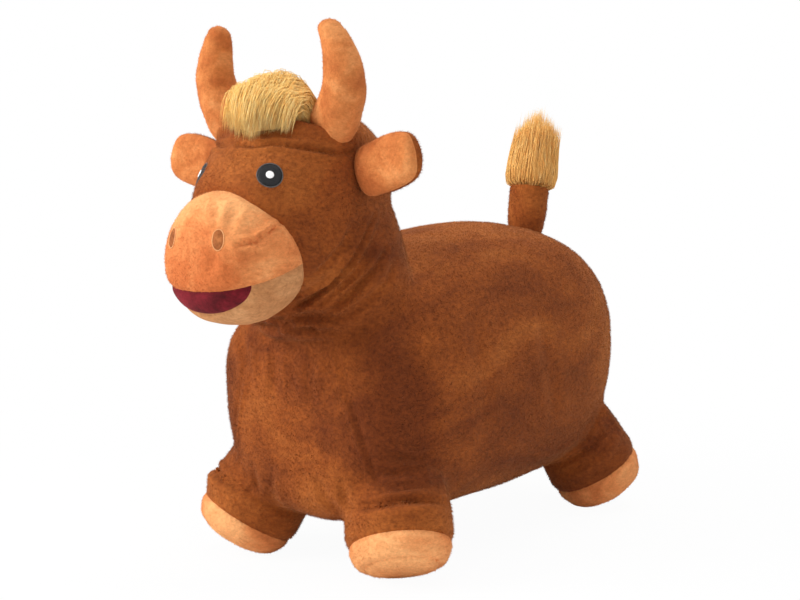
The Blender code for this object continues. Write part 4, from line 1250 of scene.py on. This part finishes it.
def zip_tape(word):
    """A tape with a row of moulded teeth on its edge cord."""
    side = SIDES[word]
    deselect()
    bpy.ops.mesh.primitive_cube_add(size=1, location=(side * 0.0067, zip_middle, zip_level))
    tape = named(f"zip_tape_{word}_woven")
    tape.scale = (0.0090, 2 * zip_half_length, 0.0008)
    in_place(tape)
    edited(tape, lambda: bpy.ops.mesh.subdivide(number_cuts=3))
    dressed(tape, "tape", "cover", [f"zip_tape_{word}"])

    usable = 2 * zip_half_length - 0.008
    place = (side * 0.0022, zip_middle, zip_level)
    deselect()
    bpy.ops.mesh.primitive_cylinder_add(vertices=10, radius=0.0008, depth=usable, location=place)
    cord = named("edge_cord")
    cord.rotation_euler = (math.pi / 2, 0, 0)
    in_place(cord)
    count = int(usable / tooth_pitch)
    first = zip_middle - count * tooth_pitch / 2 + (tooth_pitch / 2 if side < 0 else 0)
    parts = [cord]
    for index in range(count):
        y = first + index * tooth_pitch + tooth_length / 2
        bpy.ops.mesh.primitive_cube_add(size=1, location=(side * 0.0007, y, zip_level))
        tooth = named("tooth")
        tooth.scale = (0.0037, tooth_length, 0.0022)
        parts.append(applied(in_place(tooth), "BEVEL", width=0.00035, segments=2))
    only(cord)
    for part in parts:
        part.select_set(True)
    bpy.ops.object.join()
    dressed(named(f"zip_teeth_{word}"), "teeth", "cover")


for word in SIDES:
    zip_tape(word)

# Solids of the source that stay as they are
for names, finish in (
    (("bladder", "valve_seat", "valve_plug"), "vinyl"),
    (("tail_filling", *(f"{kind}_filling_{word}" for kind in ("horn", "ear") for word in SIDES)), "stuffing"),
    (("zip_stop_front", "zip_stop_hind", "zip_slider", "zip_pull"), "metal"),
):
    for name in names:
        for slot in frame["nodes"][name].material_slots:
            slot.material = finishes[finish]

# Floor, light and camera


def white_to_see(tree, plain, white, end, share=None):
    """The white shader for what is seen, straight or by reflection, and the plain one for the light."""
    rays = add_node(tree, "ShaderNodeLightPath").outputs
    amount = rays["Is Camera Ray"]
    for kind in ("Is Glossy Ray", "Is Transmission Ray"):
        amount = add_node(tree, "ShaderNodeMath", {0: amount, 1: rays[kind]}, operation="MAXIMUM").outputs[0]
    if share is not None:
        amount = add_node(tree, "ShaderNodeMath", {0: amount, 1: share}, operation="MULTIPLY").outputs[0]
    mix = add_node(tree, "ShaderNodeMixShader", {0: amount, 1: plain.outputs[0], 2: white.outputs[0]})
    tree.links.new(mix.outputs[0], tree.nodes[end].inputs["Surface"])


deselect()
bpy.ops.mesh.primitive_plane_add(size=12, location=(0, 0, -0.0004))
floor = named("floor")
pale = bpy.data.materials.new("pale_floor")
pale.use_nodes = True
tree = pale.node_tree
plain = tree.nodes["Principled BSDF"]
for socket, value in (("Base Color", (0.86, 0.86, 0.86, 1)), ("Roughness", 0.9), ("Specular IOR Level", 0.1)):
    plain.inputs[socket].default_value = value
white = add_node(tree, "ShaderNodeEmission", {"Color": (1, 1, 1, 1)})
spot = add_node(tree, "ShaderNodeTexCoord").outputs["Object"]
away = add_node(tree, "ShaderNodeVectorMath", {0: spot}, operation="LENGTH").outputs["Value"]
sockets = {"Value": away, "From Min": 0.25, "From Max": 0.9, "To Min": 0.96, "To Max": 1.0}
shadow_fade = add_node(tree, "ShaderNodeMapRange", sockets).outputs["Result"]
white_to_see(tree, plain, white, "Material Output", shadow_fade)
floor.data.materials.append(pale)

world = bpy.data.worlds.new("studio")
bpy.context.scene.world = world
world.use_nodes = True
tree = world.node_tree
plain = tree.nodes["Background"]
plain.inputs["Color"].default_value = (1, 1, 1, 1)
plain.inputs["Strength"].default_value = 0.36
white = add_node(tree, "ShaderNodeBackground", {"Color": (1, 1, 1, 1), "Strength": 1.0})
white_to_see(tree, plain, white, "World Output")


def lamp(name, place, target, size, power):
    deselect()
    bpy.ops.object.light_add(type="AREA", location=place)
    light = bpy.context.object
    light.name = name
    light.data.size = size
    light.data.energy = power
    light.rotation_euler = (Vector(target) - Vector(place)).to_track_quat("-Z", "Y").to_euler()


lamp("key_lamp", (-1.05, -1.55, 1.1), (0, 0, 0.25), 1.2, 42)
lamp("fill_lamp", (1.9, -0.8, 0.9), (0, 0, 0.2), 1.6, 12)
lamp("top_lamp", (0.2, 0.3, 2.2), (0, 0, 0.2), 1.6, 24)

bpy.ops.object.camera_add(location=camera_place)
camera = bpy.context.object
camera.name = "camera"
camera.rotation_euler = Matrix((camera_right, camera_up, camera_back)).transposed().to_euler()
camera.data.sensor_width = sensor_width
camera.data.lens = focal_pixels * sensor_width / picture_width
bpy.context.scene.camera = camera
bpy.context.scene.view_settings.view_transform = "Standard"
